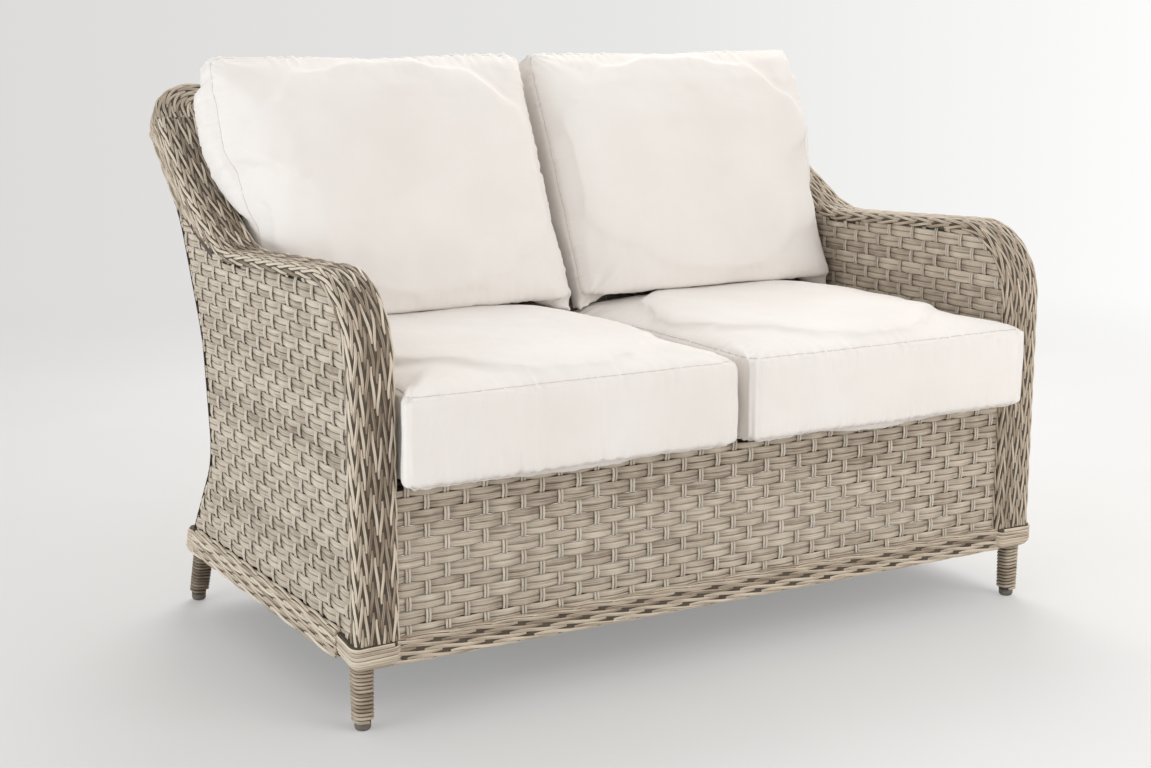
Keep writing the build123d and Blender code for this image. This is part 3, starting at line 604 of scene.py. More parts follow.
def weave(name, node_name, surface, row_way, rows, stakes, facing, spacing=6 * mm, rounded=False,
          end_of=lambda end, height: end + tuck, painted_shade_backed=True):
    """Bands of two flat strands over and under pairs of stakes, laid on a surface of the frame.

    surface gives places and the way out from a pair of arrays, along the rows and up the stakes.
    Rounded rows turn the plate's upright corners; end_of says how far a row goes on at its far end.
    """
    plate = triangles(node_name)
    bottom, top = plate[:, :, 2].min() + mm, plate[:, :, 2].max() - mm
    row_lines, stake_lines, painted_shade_backing = Guides(), Guides(), Guides()
    for band_index, height in rows:
        shade = 0.5 + 0.07 * chance.standard_normal()
        for side in (-1, 1):
            level = height + side * band / 4
            stands = facing.level(level)
            if not bottom - 7 * mm < stands < top:
                continue
            for start, end in spans(plate, 2, max(stands, bottom), row_way):
                if rounded:
                    points, outward, station = round_corners(surface, level, end)
                else:
                    station = np.array([start - tuck, end_of(end, stands)])
                    points, outward = surface(station, np.full(2, level))
                row_lines.add(
                    points, outward, station - stakes[0][1] + stakes[0][0] * stake_pitch,
                    phase=pi * band_index, shade=shade + 0.08 * chance.standard_normal(),
                )
        # Painted shade: a thin dark strip behind each band stands for the shaded hollow behind the weave
        stands = min(max(facing.level(height), bottom), top)
        for start, end in spans(plate, 2, stands, row_way) if painted_shade_backed else ():
            points, outward = surface(np.array([start, end]), np.full(2, height))
            painted_shade_backing.add(points - np.asarray(outward) * painted_shade_backing_depth, outward)
    for stake_index, distance in stakes:
        for side in (-1, 1):
            for start, end in spans(plate, row_way, distance + side * stake_spread / 2, 2):
                low, high = facing.up(start) - tuck, facing.up(end) + tuck
                heights = np.linspace(low, high, facing.steps(high - low))
                points, outward = surface(np.full(len(heights), distance + side * stake_spread / 2), heights)
                stake_lines.add(
                    points, outward, heights - rows[0][1], phase=pi * (stake_index + rows[0][0] + 1),
                    shade=0.5 + 0.14 * chance.standard_normal(),
                )
    strands(
        name + "_rows", row_lines, weft_finish, weft_width, weft_thickness, lift=weft_depth,
        period=2 * stake_pitch, spacing=spacing, stands_for=(node_name,), squareness=0.6,
    )
    strands(
        name + "_stakes", stake_lines, stake_finish, stake_width, stake_thickness, lift=stake_depth,
        period=2 * band, spacing=spacing, stands_for=(node_name,), squareness=0.85,
    )
    if painted_shade_backed:
        strands(
            name + "_lining", painted_shade_backing, shade_painted_core_finish, painted_shade_backing_width, painted_shade_backing_thickness, spacing=0.3, corners=4,
            stands_for=(node_name,),
        )


def round_corners(surface, level, half):
    """A row that goes on round both upright corners and a little way forward."""
    (spot,), (out,) = surface(np.zeros(1), np.array([level]))
    side = np.array([1.0, 0, 0])
    half -= skin / 2
    turns = np.linspace(0, pi / 2, 5)
    points = [spot - out * side_corner + side * (half - side_corner)
              + side_corner * (out * cos(turn) + side * sin(turn)) for turn in turns]
    outward = [out * cos(turn) + side * sin(turn) for turn in turns]
    station = list(half - side_corner + side_corner * turns)
    points.append(spot - out * (side_corner + side_return) + side * half)
    outward.append(side)
    station.append(station[-1] + side_return)
    flip = np.array([-1, 1, 1])
    return (
        np.array([place * flip for place in reversed(points)] + points),
        np.array([way * flip for way in reversed(outward)] + outward),
        np.array([-distance for distance in reversed(station)] + station),
    )


class Upright:
    """An upright plate: its heights are measured as they stand."""

    def level(self, height):
        return height

    def up(self, height):
        return height

    def steps(self, length):
        return 2


class Leaning:
    """A skin that follows an offset of the back line, whose heights are measured along that line."""

    def __init__(self, offset):
        self.course = Course(beside(back_line, offset))

    def level(self, station):
        return float(self.course.at(station)[1])

    def up(self, height):
        return float(self.course.station_at(height))

    def steps(self, length):
        return max(2, ceil(length / (6 * mm)))


def numbered(first, pitch, low, high):
    """Places of a pattern between two limits, with their numbers from its first place."""
    start, end = ceil((low - first) / pitch), int((high - first) // pitch)
    return [(index, first + index * pitch) for index in range(start, end + 1)]


def upright_surface(across_axis, depth, facing_out):
    """Places on an upright plane: across it and up it."""
    outward = np.zeros(3)
    outward[1 - across_axis] = facing_out

    def at(distances, heights):
        points = np.zeros((len(distances), 3))
        points[:, across_axis], points[:, 1 - across_axis], points[:, 2] = distances, depth, heights
        return points, outward

    return at


def leaning_surface(offset, facing_out):
    course = Course(beside(back_line, offset))

    def at(distances, stations):
        places, left = course.at(stations), course.left(stations)
        points = np.stack([distances, places[:, 0] + leg_y, places[:, 1]], -1)
        outward = np.stack([np.zeros(len(distances)), -facing_out * left[:, 0], -facing_out * left[:, 1]], -1)
        return points, outward

    return at


def middle(name, axis):
    low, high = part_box(name)
    return (low[axis] + high[axis]) / 2


# Front apron
low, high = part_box("front_apron_weave")
weave(
    "apron", "front_apron_weave", upright_surface(0, low[1] + skin / 2, -1), 0,
    numbered(first_band, band, low[2] - band / 4, high[2] + band / 4),
    numbered(first_stake, stake_pitch, low[0], high[0]), Upright(), painted_shade_backed=False,
)

# Sides of the arms, outside and inside
side_edge = Course(beside(back_line, rear_half - skin))


def side_end(end, height):
    """Rows stop short of the rear corner, where those of the back come round it."""
    edge = float(side_edge.at(side_edge.station_at(height))[0]) + leg_y
    return end - side_return if abs(end - edge) < 4 * mm else end + tuck


for hand, side_name in ((1, "right"), (-1, "left")):
    for skin_name, out in (("outer", hand), ("inner", -hand)):
        plate_name = f"side_weave_{skin_name}_{side_name}"
        low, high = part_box(plate_name)
        weave(
            f"{side_name}_{skin_name}_weave", plate_name,
            upright_surface(1, middle(plate_name, 0), out), 1,
            numbered(first_band, band, low[2] - band / 4, high[2] + band / 4),
            numbered(low[1] + stake_pitch / 2, stake_pitch, low[1], high[1]), Upright(),
            **({"end_of": side_end} if skin_name == "outer" else {}),
        )

# Back, front and rear
for plate_name, offset, out in (
    ("back_weave_front", skin / 2 - front_half, -1),
    ("back_weave_rear", rear_half - skin / 2, 1),
):
    surface = leaning_surface(offset, out)
    low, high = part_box(plate_name)
    facing = Leaning(offset)
    weave(
        plate_name.replace("back_weave_", "back_") + "_weave", plate_name, surface, 0,
        numbered(facing.up(first_band), band, facing.up(low[2]), facing.up(high[2])),
        numbered(first_stake, stake_pitch, low[0], high[0]), facing, spacing=back_spacing,
        rounded=plate_name == "back_weave_rear",
    )


# Plaited columns over the posts, the arms and the wings
def braid_section(distance, leg, edge, flat):
    """Place round a strip with two rounded edges: across it, depth under its top, and the way out."""
    corner = pi / 2 * edge
    if distance < leg:
        return 0, edge + leg - distance, (-1, 0)
    distance -= leg
    if distance < corner:
        turn = distance / edge
        return edge * (1 - cos(turn)), edge * (1 - sin(turn)), (-cos(turn), sin(turn))
    distance -= corner
    if distance < flat:
        return edge + distance, 0, (0, 1)
    distance -= flat
    if distance < corner:
        turn = distance / edge
        return edge + flat + edge * sin(turn), edge * (1 - cos(turn)), (sin(turn), cos(turn))
    return 2 * edge + flat, edge + distance - corner, (1, 0)


arm_lip = lip_depth - arm_edge
arm_top = arm_outer - arm_inner - 2 * arm_edge
arm_round = 2 * (lip_depth - arm_edge) + pi * arm_edge + arm_outer - arm_inner - 2 * arm_edge
arm_columns = round(arm_round / column_pitch)
wing_columns = 8
sink = 0.8 * mm
column_turn = 2.4


def plait(guides, number, points, outward):
    """One column of a plait; every other column winds the other way."""
    guides.twist(points, outward, hand=1 if number % 2 else -1, turn=number * column_turn)


arm_guides = Guides()
for number in range(arm_columns):
    across, depth, (out_x, out_up) = braid_section(
        (number + 0.5) * arm_round / arm_columns, arm_lip, arm_edge, arm_top
    )
    course = Course(beside(arm_line, depth))
    steps = course.steps()
    places, left = course.at(steps), course.left(steps)
    outward = np.stack([np.full(len(steps), out_x), left[:, 0] * out_up, left[:, 1] * out_up], -1)
    points = np.stack([np.full(len(steps), arm_inner + across), places[:, 0] + leg_y, places[:, 1]], -1)
    points = points - outward * sink
    plait(arm_guides, number, points, outward)

# The wing columns spread from the crest down to the seam with the woven side
lip_line = Course(beside(arm_line, lip_depth))
rear_line = Course(beside(back_line, rear_half - skin))
seam_low = (wing_bend[0] - swoop_run + wing_seam_run, arm_height - arm_drop - lip_depth)
near_start = float(np.interp(seam_low[0], lip_line.places[:, 0], lip_line.stations))
seam_gap = rear_line.places[:, 1] - seam_low[1] - (rear_line.places[:, 0] - seam_low[0]) * wing_seam_slope
far_start = float(np.interp(0, seam_gap[len(seam_gap) // 4:], rear_line.stations[len(seam_gap) // 4:]))
far_end = float(rear_line.station_at(back_line[0][-1][1] - crest_leg * crest_course[1]))
shares = np.linspace(0, 1, 90)
near = lip_line.at(near_start + (lip_line.length - near_start) * shares)
far = rear_line.at(far_start + (far_end - far_start) * shares)
for number in range(wing_columns):
    share = (number + 0.5) / wing_columns
    places = near + (far - near) * share
    points = np.stack([np.full(len(places), arm_outer - sink), places[:, 0] + leg_y, places[:, 1]], -1)
    plait(arm_guides, number, points, (1, 0, 0))

column = dict(
    width=column_width, thickness=column_thickness, lift=column_lift, swing=column_swing,
    period=column_period, spacing=7 * mm, squareness=0.8,
)
strands("right_arm_plait", arm_guides, braid_finish, **column)
strands("left_arm_plait", arm_guides.mirrored(), braid_finish, **column)


# Plaited columns round the crest
crest_face = arm_outer - arm_inner - crest_edge
crest_flat = front_half + rear_half - 2 * crest_edge
crest_round = 2 * crest_face + pi * crest_edge + crest_flat
crest_columns = 23
crest_first = 0.7
crest_guides = Guides()
run, rise = crest_course
crest_end = back_line[0][-1]
for number in range(crest_columns):
    across, depth, (out_rear, out_side) = braid_section(
        (number + crest_first) * crest_round / crest_columns, crest_face, crest_edge, crest_flat
    )
    reach, out_front = front_half - across, -out_rear
    share = depth / (arm_outer - arm_inner)
    top = -share * crest_depth
    radius = crest_corner + (crest_inner_corner - crest_corner) * share
    half = arm_outer - depth
    outline = Course(([(-half, -crest_leg), (-half, top), (half, top), (half, -crest_leg)], [radius, radius]))
    steps = outline.steps()
    flat, left = outline.at(steps), outline.left(steps)
    points = np.stack(
        [
            flat[:, 0],
            leg_y + crest_end[0] + flat[:, 1] * run - reach * rise,
            crest_end[1] + flat[:, 1] * rise + reach * run,
        ],
        -1,
    )
    outward = np.stack(
        [
            left[:, 0] * out_side,
            left[:, 1] * out_side * run - out_front * rise,
            left[:, 1] * out_side * rise + out_front * run,
        ],
        -1,
    )
    points = points - outward * sink
    plait(crest_guides, number, points, outward)
strands("crest_plait", crest_guides, braid_finish, **column)


# Roped borders along the bottom
rope = dict(
    width=6 * mm, thickness=3.8 * mm, lift=1.5 * mm, swing=2.8 * mm, period=rope_period,
    spacing=8 * mm, squareness=0.8,
)
rope_end = 12 * mm
rope_turn = 1.9
front_rows = 4
side_rows = 5


def rope_levels(low, high, rows):
    """Where the ropes of a border lie between two levels, with their numbers."""
    pitch = (high - low) / rows
    return [(number, low + (number + 0.5) * pitch) for number in range(rows)]


front_rope = Guides()
low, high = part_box("front_border")
for number, level in rope_levels(low[2], high[2], front_rows):
    for y, out in ((low[1] + sink, -1), (high[1] - sink, 1)):
        front_rope.twist(
            [(low[0] - rope_end, y, level), (high[0] + rope_end, y, level)], (0, out, 0),
            turn=number * rope_turn,
        )
for y, z, out in (
    (middle("front_border", 1), low[2] + sink, (0, 0, -1)),
    (low[1] + 6 * mm, high[2] - sink, (0, -0.5, 0.86)),
):
    front_rope.twist([(low[0] - rope_end, y, z), (high[0] + rope_end, y, z)], out)
strands("front_border_rope", front_rope, braid_finish, **rope)

side_rope = Guides()
low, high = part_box("side_border_right")
for number, level in rope_levels(low[2], high[2], side_rows):
    side_rope.twist(
        [(high[0] - sink, low[1] - rope_end, level), (high[0] - sink, high[1] + rope_end, level)],
        (1, 0, 0), hand=-1, turn=number * rope_turn,
    )
side_rope.twist(
    [(high[0] - 6 * mm, low[1] - rope_end, high[2] - sink), (high[0] - 6 * mm, high[1], high[2] - sink)],
    (0.5, 0, 0.86), hand=-1,
)
strands("right_border_rope", side_rope, braid_finish, **rope)
strands("left_border_rope", side_rope.mirrored(), braid_finish, **rope)

rear_rope = Guides()
low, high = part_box("rear_border")
border_course = Course(beside(back_line, rear_half + 8 * mm))
start, end = border_course.station_at(low[2]), border_course.station_at(high[2])
for number, level in rope_levels(start, end, side_rows):
    station = np.array([level])
    (y, z), (left_y, left_z) = border_course.at(station)[0], border_course.left(station)[0]
    out = np.array([0, -left_y, -left_z])
    base = np.array([0, y + leg_y, z]) - out * sink
    rear_rope.twist(
        [base + (low[0] - rope_end, 0, 0), base + (high[0] + rope_end, 0, 0)], out, turn=number * rope_turn
    )
strands("rear_border_rope", rear_rope, braid_finish, **rope)


# Collars: flat strands wound down round the foot of each post and in under it
def rounded_loop(half_x, half_y, radius, share):
    """Place and way out on a rounded rectangle, at a share of its way round."""
    radius = min(radius, half_x, half_y)
    sides = (2 * (half_x - radius), 2 * (half_y - radius))
    corner = pi / 2 * radius
    total = 2 * (sides[0] + sides[1]) + 4 * corner
    distance = (share % 1) * total
    heading = 0.0
    spot = np.array([-(half_x - radius), -half_y])
    for index in range(4):
        length = sides[index % 2]
        ahead = np.array([cos(heading), sin(heading)])
        out = np.array([sin(heading), -cos(heading)])
        if distance <= length:
            return spot + ahead * distance, out
        distance -= length
        spot = spot + ahead * length
        centre = spot - out * radius
        if distance <= corner:
            turn = distance / radius if radius else 0
            out_now = out * cos(turn) + ahead * sin(turn)
            return centre + out_now * radius, out_now
        distance -= corner
        spot = centre + ahead * radius
        heading += pi / 2
    return spot, np.array([0.0, -1.0])


collar_pitch = 6.6 * mm
collar_width = 6.0 * mm
collar_strand = 3.4 * mm
collar_corner = 14 * mm
collar_round = 22 * mm
collar_rise = 13 * mm
leg_half = 13 * mm
turn_steps = 56
core_sides = 40
rear_collar_depth = 58 * mm
rear_leg_lean = radians(23)


def collar(name, centre_at, half_x, half_y, low, high, rise):
    """Winding round the foot of a post and in under it, over its own core painted dark as shade, for both
    sides.
    """
    section = Course(([(0, high), (0, low), (min(half_x, half_y) - leg_half, low)], [collar_round]), mm)

    def spot(distance, share, depth):
        inset, level = section.at(distance)
        inward, down = section.left(distance)
        inset, level = inset + inward * depth, level + down * depth
        corner = max(collar_corner - inset / 2, 5 * mm)
        flat, out = rounded_loop(half_x - inset, half_y - inset, corner, share)
        tilt = rise * (0.5 + 0.5 * flat[1] / half_y)
        place_at = np.array([*(np.array(centre_at(level)) + flat), level + tilt])
        return place_at, np.array([out[0] * inward, out[1] * inward, -down])

    guides = Guides()
    count = int(turn_steps * (section.length - collar_pitch / 2) / collar_pitch)
    wound = [
        spot(collar_pitch * (0.5 + step / turn_steps), step / turn_steps, collar_strand / 2)
        for step in range(count)
    ]
    guides.add([place_at for place_at, _ in wound], [out for _, out in wound])
    rings = [
        [tuple(spot(distance, share, collar_strand)[0]) for share in np.arange(core_sides) / core_sides]
        for distance in section.steps(spacing=4 * mm)
    ]
    faces = [
        (first + at, first + (at + 1) % core_sides, first + core_sides + (at + 1) % core_sides,
         first + core_sides + at)
        for first in range(0, (len(rings) - 1) * core_sides, core_sides) for at in range(core_sides)
    ]
    last = (len(rings) - 1) * core_sides
    faces += [tuple(range(core_sides - 1, -1, -1)), tuple(range(last, last + core_sides))]
    for side_name, flip in (("right", 1), ("left", -1)):
        strands(
            f"{side_name}_{name}_collar_wrap", guides if flip > 0 else guides.mirrored(), braid_finish,
            collar_width, collar_strand, spacing=5 * mm, corners=8, squareness=0.85,
            stands_for=(f"collar_{name}_{side_name}",),
        )
        mesh = bpy.data.meshes.new(f"{side_name}_{name}_collar_core")
        mesh.from_pydata([(x * flip, y, z) for ring in rings for x, y, z in ring], [], faces)
        form = bmesh.new()
        form.from_mesh(mesh)
        bmesh.ops.recalc_face_normals(form, faces=form.faces)
        form.to_mesh(mesh)
        form.free()
        mesh.materials.append(shade_painted_core_finish)
        core = place(mesh.name, mesh)
        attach(core, "frame")
        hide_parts(f"collar_{name}_{side_name}")


def leg_centre(level):
    """Centre of the rear leg at a height."""
    foot, ankle = back_line[0][0], back_line[0][1]
    return foot[0] + (ankle[0] - foot[0]) * (level - foot[1]) / (ankle[1] - foot[1])


low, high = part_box("collar_front_right")
front_centre = ((low[0] + high[0]) / 2, (low[1] + high[1]) / 2)
collar(
    "front", lambda level: front_centre, (high[0] - low[0]) / 2, (high[1] - low[1]) / 2, low[2], high[2],
    collar_rise,
)
low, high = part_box("collar_rear_right")
rear_x = (low[0] + high[0]) / 2
collar(
    "rear", lambda level: (rear_x, leg_centre(level) + leg_y), (high[0] - low[0]) / 2,
    rear_collar_depth / 2 / cos(rear_leg_lean), low[2], high[2], 0,
)

# Round strand wound down each leg
wire = 4.8 * mm
wire_width = 5.3 * mm
wire_half = (13.9 * mm, 15.0 * mm)
wire_corner = 8.5 * mm
wrap_top = 106 * mm
leg_x = 668.7 * mm
wire_steps = 28
for which, turns in (("front", 14), ("rear", 13)):
    winding = Guides()
    low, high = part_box(f"leg_wrap_{which}_right")
    points, outward = [], []
    for step in range(turns * wire_steps + 1):
        share = step / (turns * wire_steps)
        level = low[2] + wire / 2 + (wrap_top - low[2] - wire) * share
        half = wire_half[0] + (wire_half[1] - wire_half[0]) * share
        spot, out = rounded_loop(half, half, wire_corner, step / wire_steps)
        y = leg_y + (leg_centre(level) if which == "rear" else 0)
        points.append((leg_x + spot[0], y + spot[1], level))
        outward.append((out[0], out[1], 0))
    winding.add(points, outward, shade=0.55)
    for guides, side_name in ((winding, "right"), (winding.mirrored(), "left")):
        strands(
            f"{side_name}_{which}_leg_winding", guides, wrap_finish, wire_width, wire, spacing=3.6 * mm,
            corners=8, squareness=1.0, stands_for=(f"leg_wrap_{which}_{side_name}",),
        )

# Cushions
def merged_copy(name):
    """A copy of a CAD node's mesh with its loose triangles joined."""
    form = bmesh.new()
    form.from_mesh(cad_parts[name].data)
    bmesh.ops.remove_doubles(form, verts=form.verts, dist=0.02 * mm)
    bmesh.ops.recalc_face_normals(form, faces=form.faces)
    mesh = bpy.data.meshes.new(name + "_copy")
    form.to_mesh(mesh)
    form.free()
    return mesh


def coordinates(mesh, kind="co"):
    values = np.empty(len(mesh.vertices) * 3)
    mesh.vertices.foreach_get(kind, values)
    return values.reshape(-1, 3)


def move_to(mesh, places):
    mesh.vertices.foreach_set("co", np.ascontiguousarray(places).ravel())
    mesh.update()


def closeness(values, targets, reach):
    """1 on any of the targets, falling to 0 away from them."""
    return np.max([np.exp(-((values - target) / reach) ** 2) for target in targets], 0)


voxel = 7 * mm
sewn_reach = 9 * mm
swell_cap = 24 * mm
inward_cap = 6 * mm
contact_cap = 1.7 * mm
open_cap = 8 * mm
open_gain = 1.4
fold_share = 0.4
fold_ease = 40
limit_ease = 5
least_room = 0.5 * mm
closer_start = 120 * mm
closer_run = 100 * mm


def joined_hull(mesh, corners):
    """The mesh with the convex body of some corner places added to it."""
    form = bmesh.new()
    made = [form.verts.new(corner) for corner in corners]
    bmesh.ops.convex_hull(form, input=made)
    bmesh.ops.delete(form, geom=[vertex for vertex in form.verts if not vertex.link_faces], context="VERTS")
    bmesh.ops.recalc_face_normals(form, faces=form.faces)
    form.from_mesh(mesh)
    form.to_mesh(mesh)
    form.free()


def spread(values, edges, count):
    """Values of a mesh's points eased into those of their neighbours."""
    first, second = edges.T
    shares = np.bincount(edges.ravel(), minlength=len(values))
    for turn in range(count):
        sums = np.bincount(first, values[second], len(values))
        sums = sums + np.bincount(second, values[first], len(values))
        values = 0.5 * values + 0.5 * sums / np.maximum(shares, 1)
    return values


def stuffed(solid, seams_of, open_ways, fuller=(), closer=0.0):
    """Mesh of a filled cushion: the solid's form, swollen as cloth whose seams are drawn tight.

    seams_of gives how near each place is to a seam; open_ways are the ways in which nothing holds it.
    fuller gives the corner places of more fullness to join on. closer is how far its inner side comes
    on towards the other cushion.
    """
    start = merged_copy(solid)
    places = coordinates(start)
    places[:, 0] -= closer * np.clip((closer_start - places[:, 0]) / closer_run, 0, 1)
    move_to(start, places)
    for corners in fuller:
        joined_hull(start, corners)
    piece = place(solid + "_stuffed", start)
    even = piece.modifiers.new("even", "REMESH")
    even.mode, even.voxel_size = "VOXEL", voxel
    mesh = evaluated(piece)
    piece.modifiers.clear()
    piece.data = mesh
    hold = BVHTree.FromPolygons([v.co for v in mesh.vertices], [f.vertices for f in mesh.polygons])
    soften = piece.modifiers.new("soften", "SMOOTH")
    soften.factor, soften.iterations = 0.5, 6
    mesh = evaluated(piece)
    piece.modifiers.clear()
    piece.data = mesh
    rest = coordinates(mesh)
    group = piece.vertex_groups.new(name="seams")
    for index, weight in enumerate(seams_of(rest)):
        group.add([index], float(weight), "REPLACE")
    cloth = piece.modifiers.new("cloth", "CLOTH")
    settings = cloth.settings
    for key, value in dict(
        quality=4, mass=0.3, tension_stiffness=20, compression_stiffness=20, shear_stiffness=8,
        bending_stiffness=0.4, use_pressure=True, uniform_pressure_force=2.5,
        vertex_group_shrink="seams", shrink_min=-0.02, shrink_max=0.06,
    ).items():
        setattr(settings, key, value)
    settings.effector_weights.gravity = 0
    cloth.collision_settings.use_collision = False
    for number in range(1, 21):
        bpy.context.scene.frame_set(number)
    mesh = evaluated(piece)
    piece.modifiers.clear()
    piece.vertex_groups.clear()
    piece.data = mesh
    bpy.context.scene.frame_set(1)
    moved = coordinates(mesh) - rest
    reach = np.linalg.norm(moved, axis=1, keepdims=True)
    moved *= np.minimum(1, swell_cap / np.maximum(reach, mm))

    edges = np.empty(len(mesh.edges) * 2, int)
    mesh.edges.foreach_get("vertices", edges)
    edges = edges.reshape(-1, 2)
    soft = np.stack([spread(moved[:, axis], edges, fold_ease) for axis in range(3)], -1)
    moved = soft + fold_share * (moved - soft)

    def reading(places):
        """How far out of the solid each place lies, and how far it may."""
        found = []
        for spot in places:
            nearest, normal, _, _ = hold.find_nearest(Vector(spot))
            free = max(max(0.0, normal.dot(Vector(way))) for way in open_ways)
            height = (Vector(spot) - nearest).dot(normal)
            found.append((height, contact_cap + open_cap * min(1.0, free * open_gain)))
        return np.array(found).T

    before, limit = reading(rest)
    gain = reading(rest + moved)[0] - before
    share = 1 / (
        1 + np.maximum(gain, 0) / np.maximum(limit - before, least_room)
        + np.maximum(-gain, 0) / np.maximum(inward_cap + before, least_room)
    )
    share = spread(share, edges, limit_ease)
    move_to(mesh, rest + moved * share[:, None])
    finer = piece.modifiers.new("finer", "SUBSURF")
    finer.levels = finer.render_levels = 1
    result = evaluated(piece)
    bpy.data.objects.remove(piece)
    return result


def mirrored_mesh(mesh):
    other = mesh.copy()
    other.transform(((-1, 0, 0, 0), (0, 1, 0, 0), (0, 0, 1, 0), (0, 0, 0, 1)))
    other.flip_normals()
    return other


pleat_height = 4.6 * mm
pleat_pitch = 15 * mm
pleat_reach = 24 * mm
pucker_height = 6 * mm
pucker_reach = 55 * mm
seam_groove = 1.6 * mm
seam_width = 3.0 * mm
dent_height = 2.6 * mm
dent_pitch = 110 * mm


def creased(mesh, measure, seams, seed):
    """Pleats along the seams, a groove on them and soft dents between, cut into a cushion's mesh.

    measure gives each place's height through the cushion and its two distances across it.
    """
    places, normals = coordinates(mesh), coordinates(mesh, "normal")
    height, first, second = measure(places)
    inside_first = np.minimum(first - first.min(), first.max() - first)
    inside_second = np.minimum(second - second.min(), second.max() - second)
    inside = np.minimum(inside_first, inside_second)
    run = np.where(inside_first < inside_second, second, first)
    side_number = np.where(inside_first < inside_second, 5.0, 9.0)
    shift = np.zeros(len(places))
    for number, seam in enumerate(seams):
        away = np.hypot(height - seam, inside)
        fold = np.array(
            [
                noise.noise((distance / pleat_pitch, side + 3 * number, seed))
                + 0.5 * noise.noise((distance / pleat_pitch * 2.3, side + 3 * number, seed + 4))
                for distance, side in zip(run, side_number)
            ]
        )
        shift += pleat_height * fold * np.exp(-away / pleat_reach)
        shift -= seam_groove * np.exp(-(((height - seam) / seam_width) ** 2)) * (inside < 40 * mm)
    away = np.hypot(inside_first, inside_second)
    angle = np.arctan2(inside_second, inside_first)
    quarter = 2.0 * (first > (first.min() + first.max()) / 2) + (second > (second.min() + second.max()) / 2)
    pucker = np.array(
        [noise.noise((turn * 4.5, corner * 3 + 0.5, seed + 7)) for turn, corner in zip(angle, quarter)]
    )
    shift += pucker_height * pucker * np.exp(-away / pucker_reach) * np.minimum(1, away / (18 * mm))
    dents = np.array(
        [noise.fractal(Vector(spot) / dent_pitch + Vector((seed, 0, 0)), 0.9, 2.1, 3) for spot in places]
    )
    shift += dent_height * dents
    move_to(mesh, places + normals * shift[:, None])
    for face in mesh.polygons:
        face.use_smooth = True
    return mesh


def seam_guides(mesh, plane_at, plane_way):
    """Guides for a line of seam where a plane meets a cushion."""
    form = bmesh.new()
    form.from_mesh(mesh)
    cut = bmesh.ops.bisect_plane(
        form, geom=form.verts[:] + form.edges[:] + form.faces[:], plane_co=plane_at, plane_no=plane_way
    )["geom_cut"]
    edges = [item for item in cut if isinstance(item, bmesh.types.BMEdge)]
    following = {}
    for edge in edges:
        for one, other in (edge.verts, reversed(edge.verts)):
            following.setdefault(one, []).append(other)
    guides = Guides()
    seen = set()
    for begin in following:
        if begin in seen:
            continue
        loop = [begin]
        seen.add(begin)
        while True:
            ways = [vertex for vertex in following[loop[-1]] if vertex not in seen]
            if not ways:
                break
            loop.append(ways[0])
            seen.add(ways[0])
        if len(loop) > 60:
            loop.append(loop[0])
            guides.add([v.co[:] for v in loop], [v.normal[:] for v in loop], shade=0.5)
    form.free()
    return guides


# Seat cushions
seam_rise = 12 * mm
seat_boxing = 138 * mm
seat_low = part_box("seat_cushion_cover_right")[0]
seat_seams = (seat_low[2] + seam_rise, seat_low[2] + seam_rise + seat_boxing)


def seat_measure(places):
    return places[:, 2], places[:, 0], places[:, 1]


seat_mesh = stuffed(
    "seat_cushion_fill_right", lambda places: closeness(places[:, 2], seat_seams, sewn_reach),
    ((0, 0, 1), (0, -1, 0)),
)

# Back cushions, measured from the back line along and across their lean
small_start, small_end = back_line[0][3], back_line[0][4]
lean = direction(small_start, small_end)
lean_out = Vector((0, -lean[1], lean[0]))
back_origin = Vector((0, small_start[0] + leg_y, small_start[1]))
back_seams = (front_half + 0.5 * mm + 10 * mm, front_half + 0.5 * mm + 80 * mm)


def back_measure(places):
    relative = places - np.array(back_origin)
    return relative @ np.array(lean_out), places[:, 0], relative @ np.array((0, lean[0], lean[1]))


cushion_rear = 47 * mm
shoulder_start = 0.45
shoulder_step = 12 * mm
# In millimetres: across, clear of the braid, lowest, highest and front of the shoulder
shoulder_rows = (
    (585, 5, 112, 466, 134), (612, 6, 128, 468, 123), (634, 9, 180, 468, 121), (650, 12, 255, 467, 118),
    (663, 14, 330, 462, 114),
)
sitting_reaches = (85 * mm, 116 * mm)
# In millimetres: how far under the cushion its corners start, and how far up they reach
sitting_start = 30
sitting_height = 60


def shoulder():
    """Places round the fullness that a back cushion has over the wing and down to the arm."""
    line = Course(arm_line)
    stations = line.steps(line.length * shoulder_start, line.length, shoulder_step)
    places, left = line.at(stations), line.left(stations)
    corners = []
    for x, clear, lowest, highest, front in shoulder_rows:
        for (y, z), way in zip(places, left):
            spot = np.array([[x * mm, y + way[0] * clear * mm + leg_y, z + way[1] * clear * mm]])
            reach, _, up = (float(value[0]) for value in back_measure(spot))
            if lowest * mm <= up <= highest * mm and reach <= front * mm:
                corners += [
                    spot[0] + np.array(lean_out) * (to - reach)
                    for to in (max(reach, cushion_rear), front * mm)
                ]
    return corners


def sitting(first, last):
    """Places round a lower corner of a back cushion, which comes down on to its seat cushion."""
    solid = merged_copy("seat_cushion_cover_right")
    seat = BVHTree.FromPolygons([v.co for v in solid.vertices], [f.vertices for f in solid.polygons])
    upward = Vector((0, lean[0], lean[1]))
    corners = []
    for x in (first, last):
        for reach in sitting_reaches:
            spot = back_origin + lean_out * reach - upward * sitting_start * mm
            spot.x = x
            for turn in range(5):
                top = seat.ray_cast(Vector((x, spot.y, 1)), Vector((0, 0, -1)))[0]
                spot = spot - upward * ((spot.z - top.z) / upward.z)
            corners += [spot, spot + upward * sitting_height * mm]
    return corners


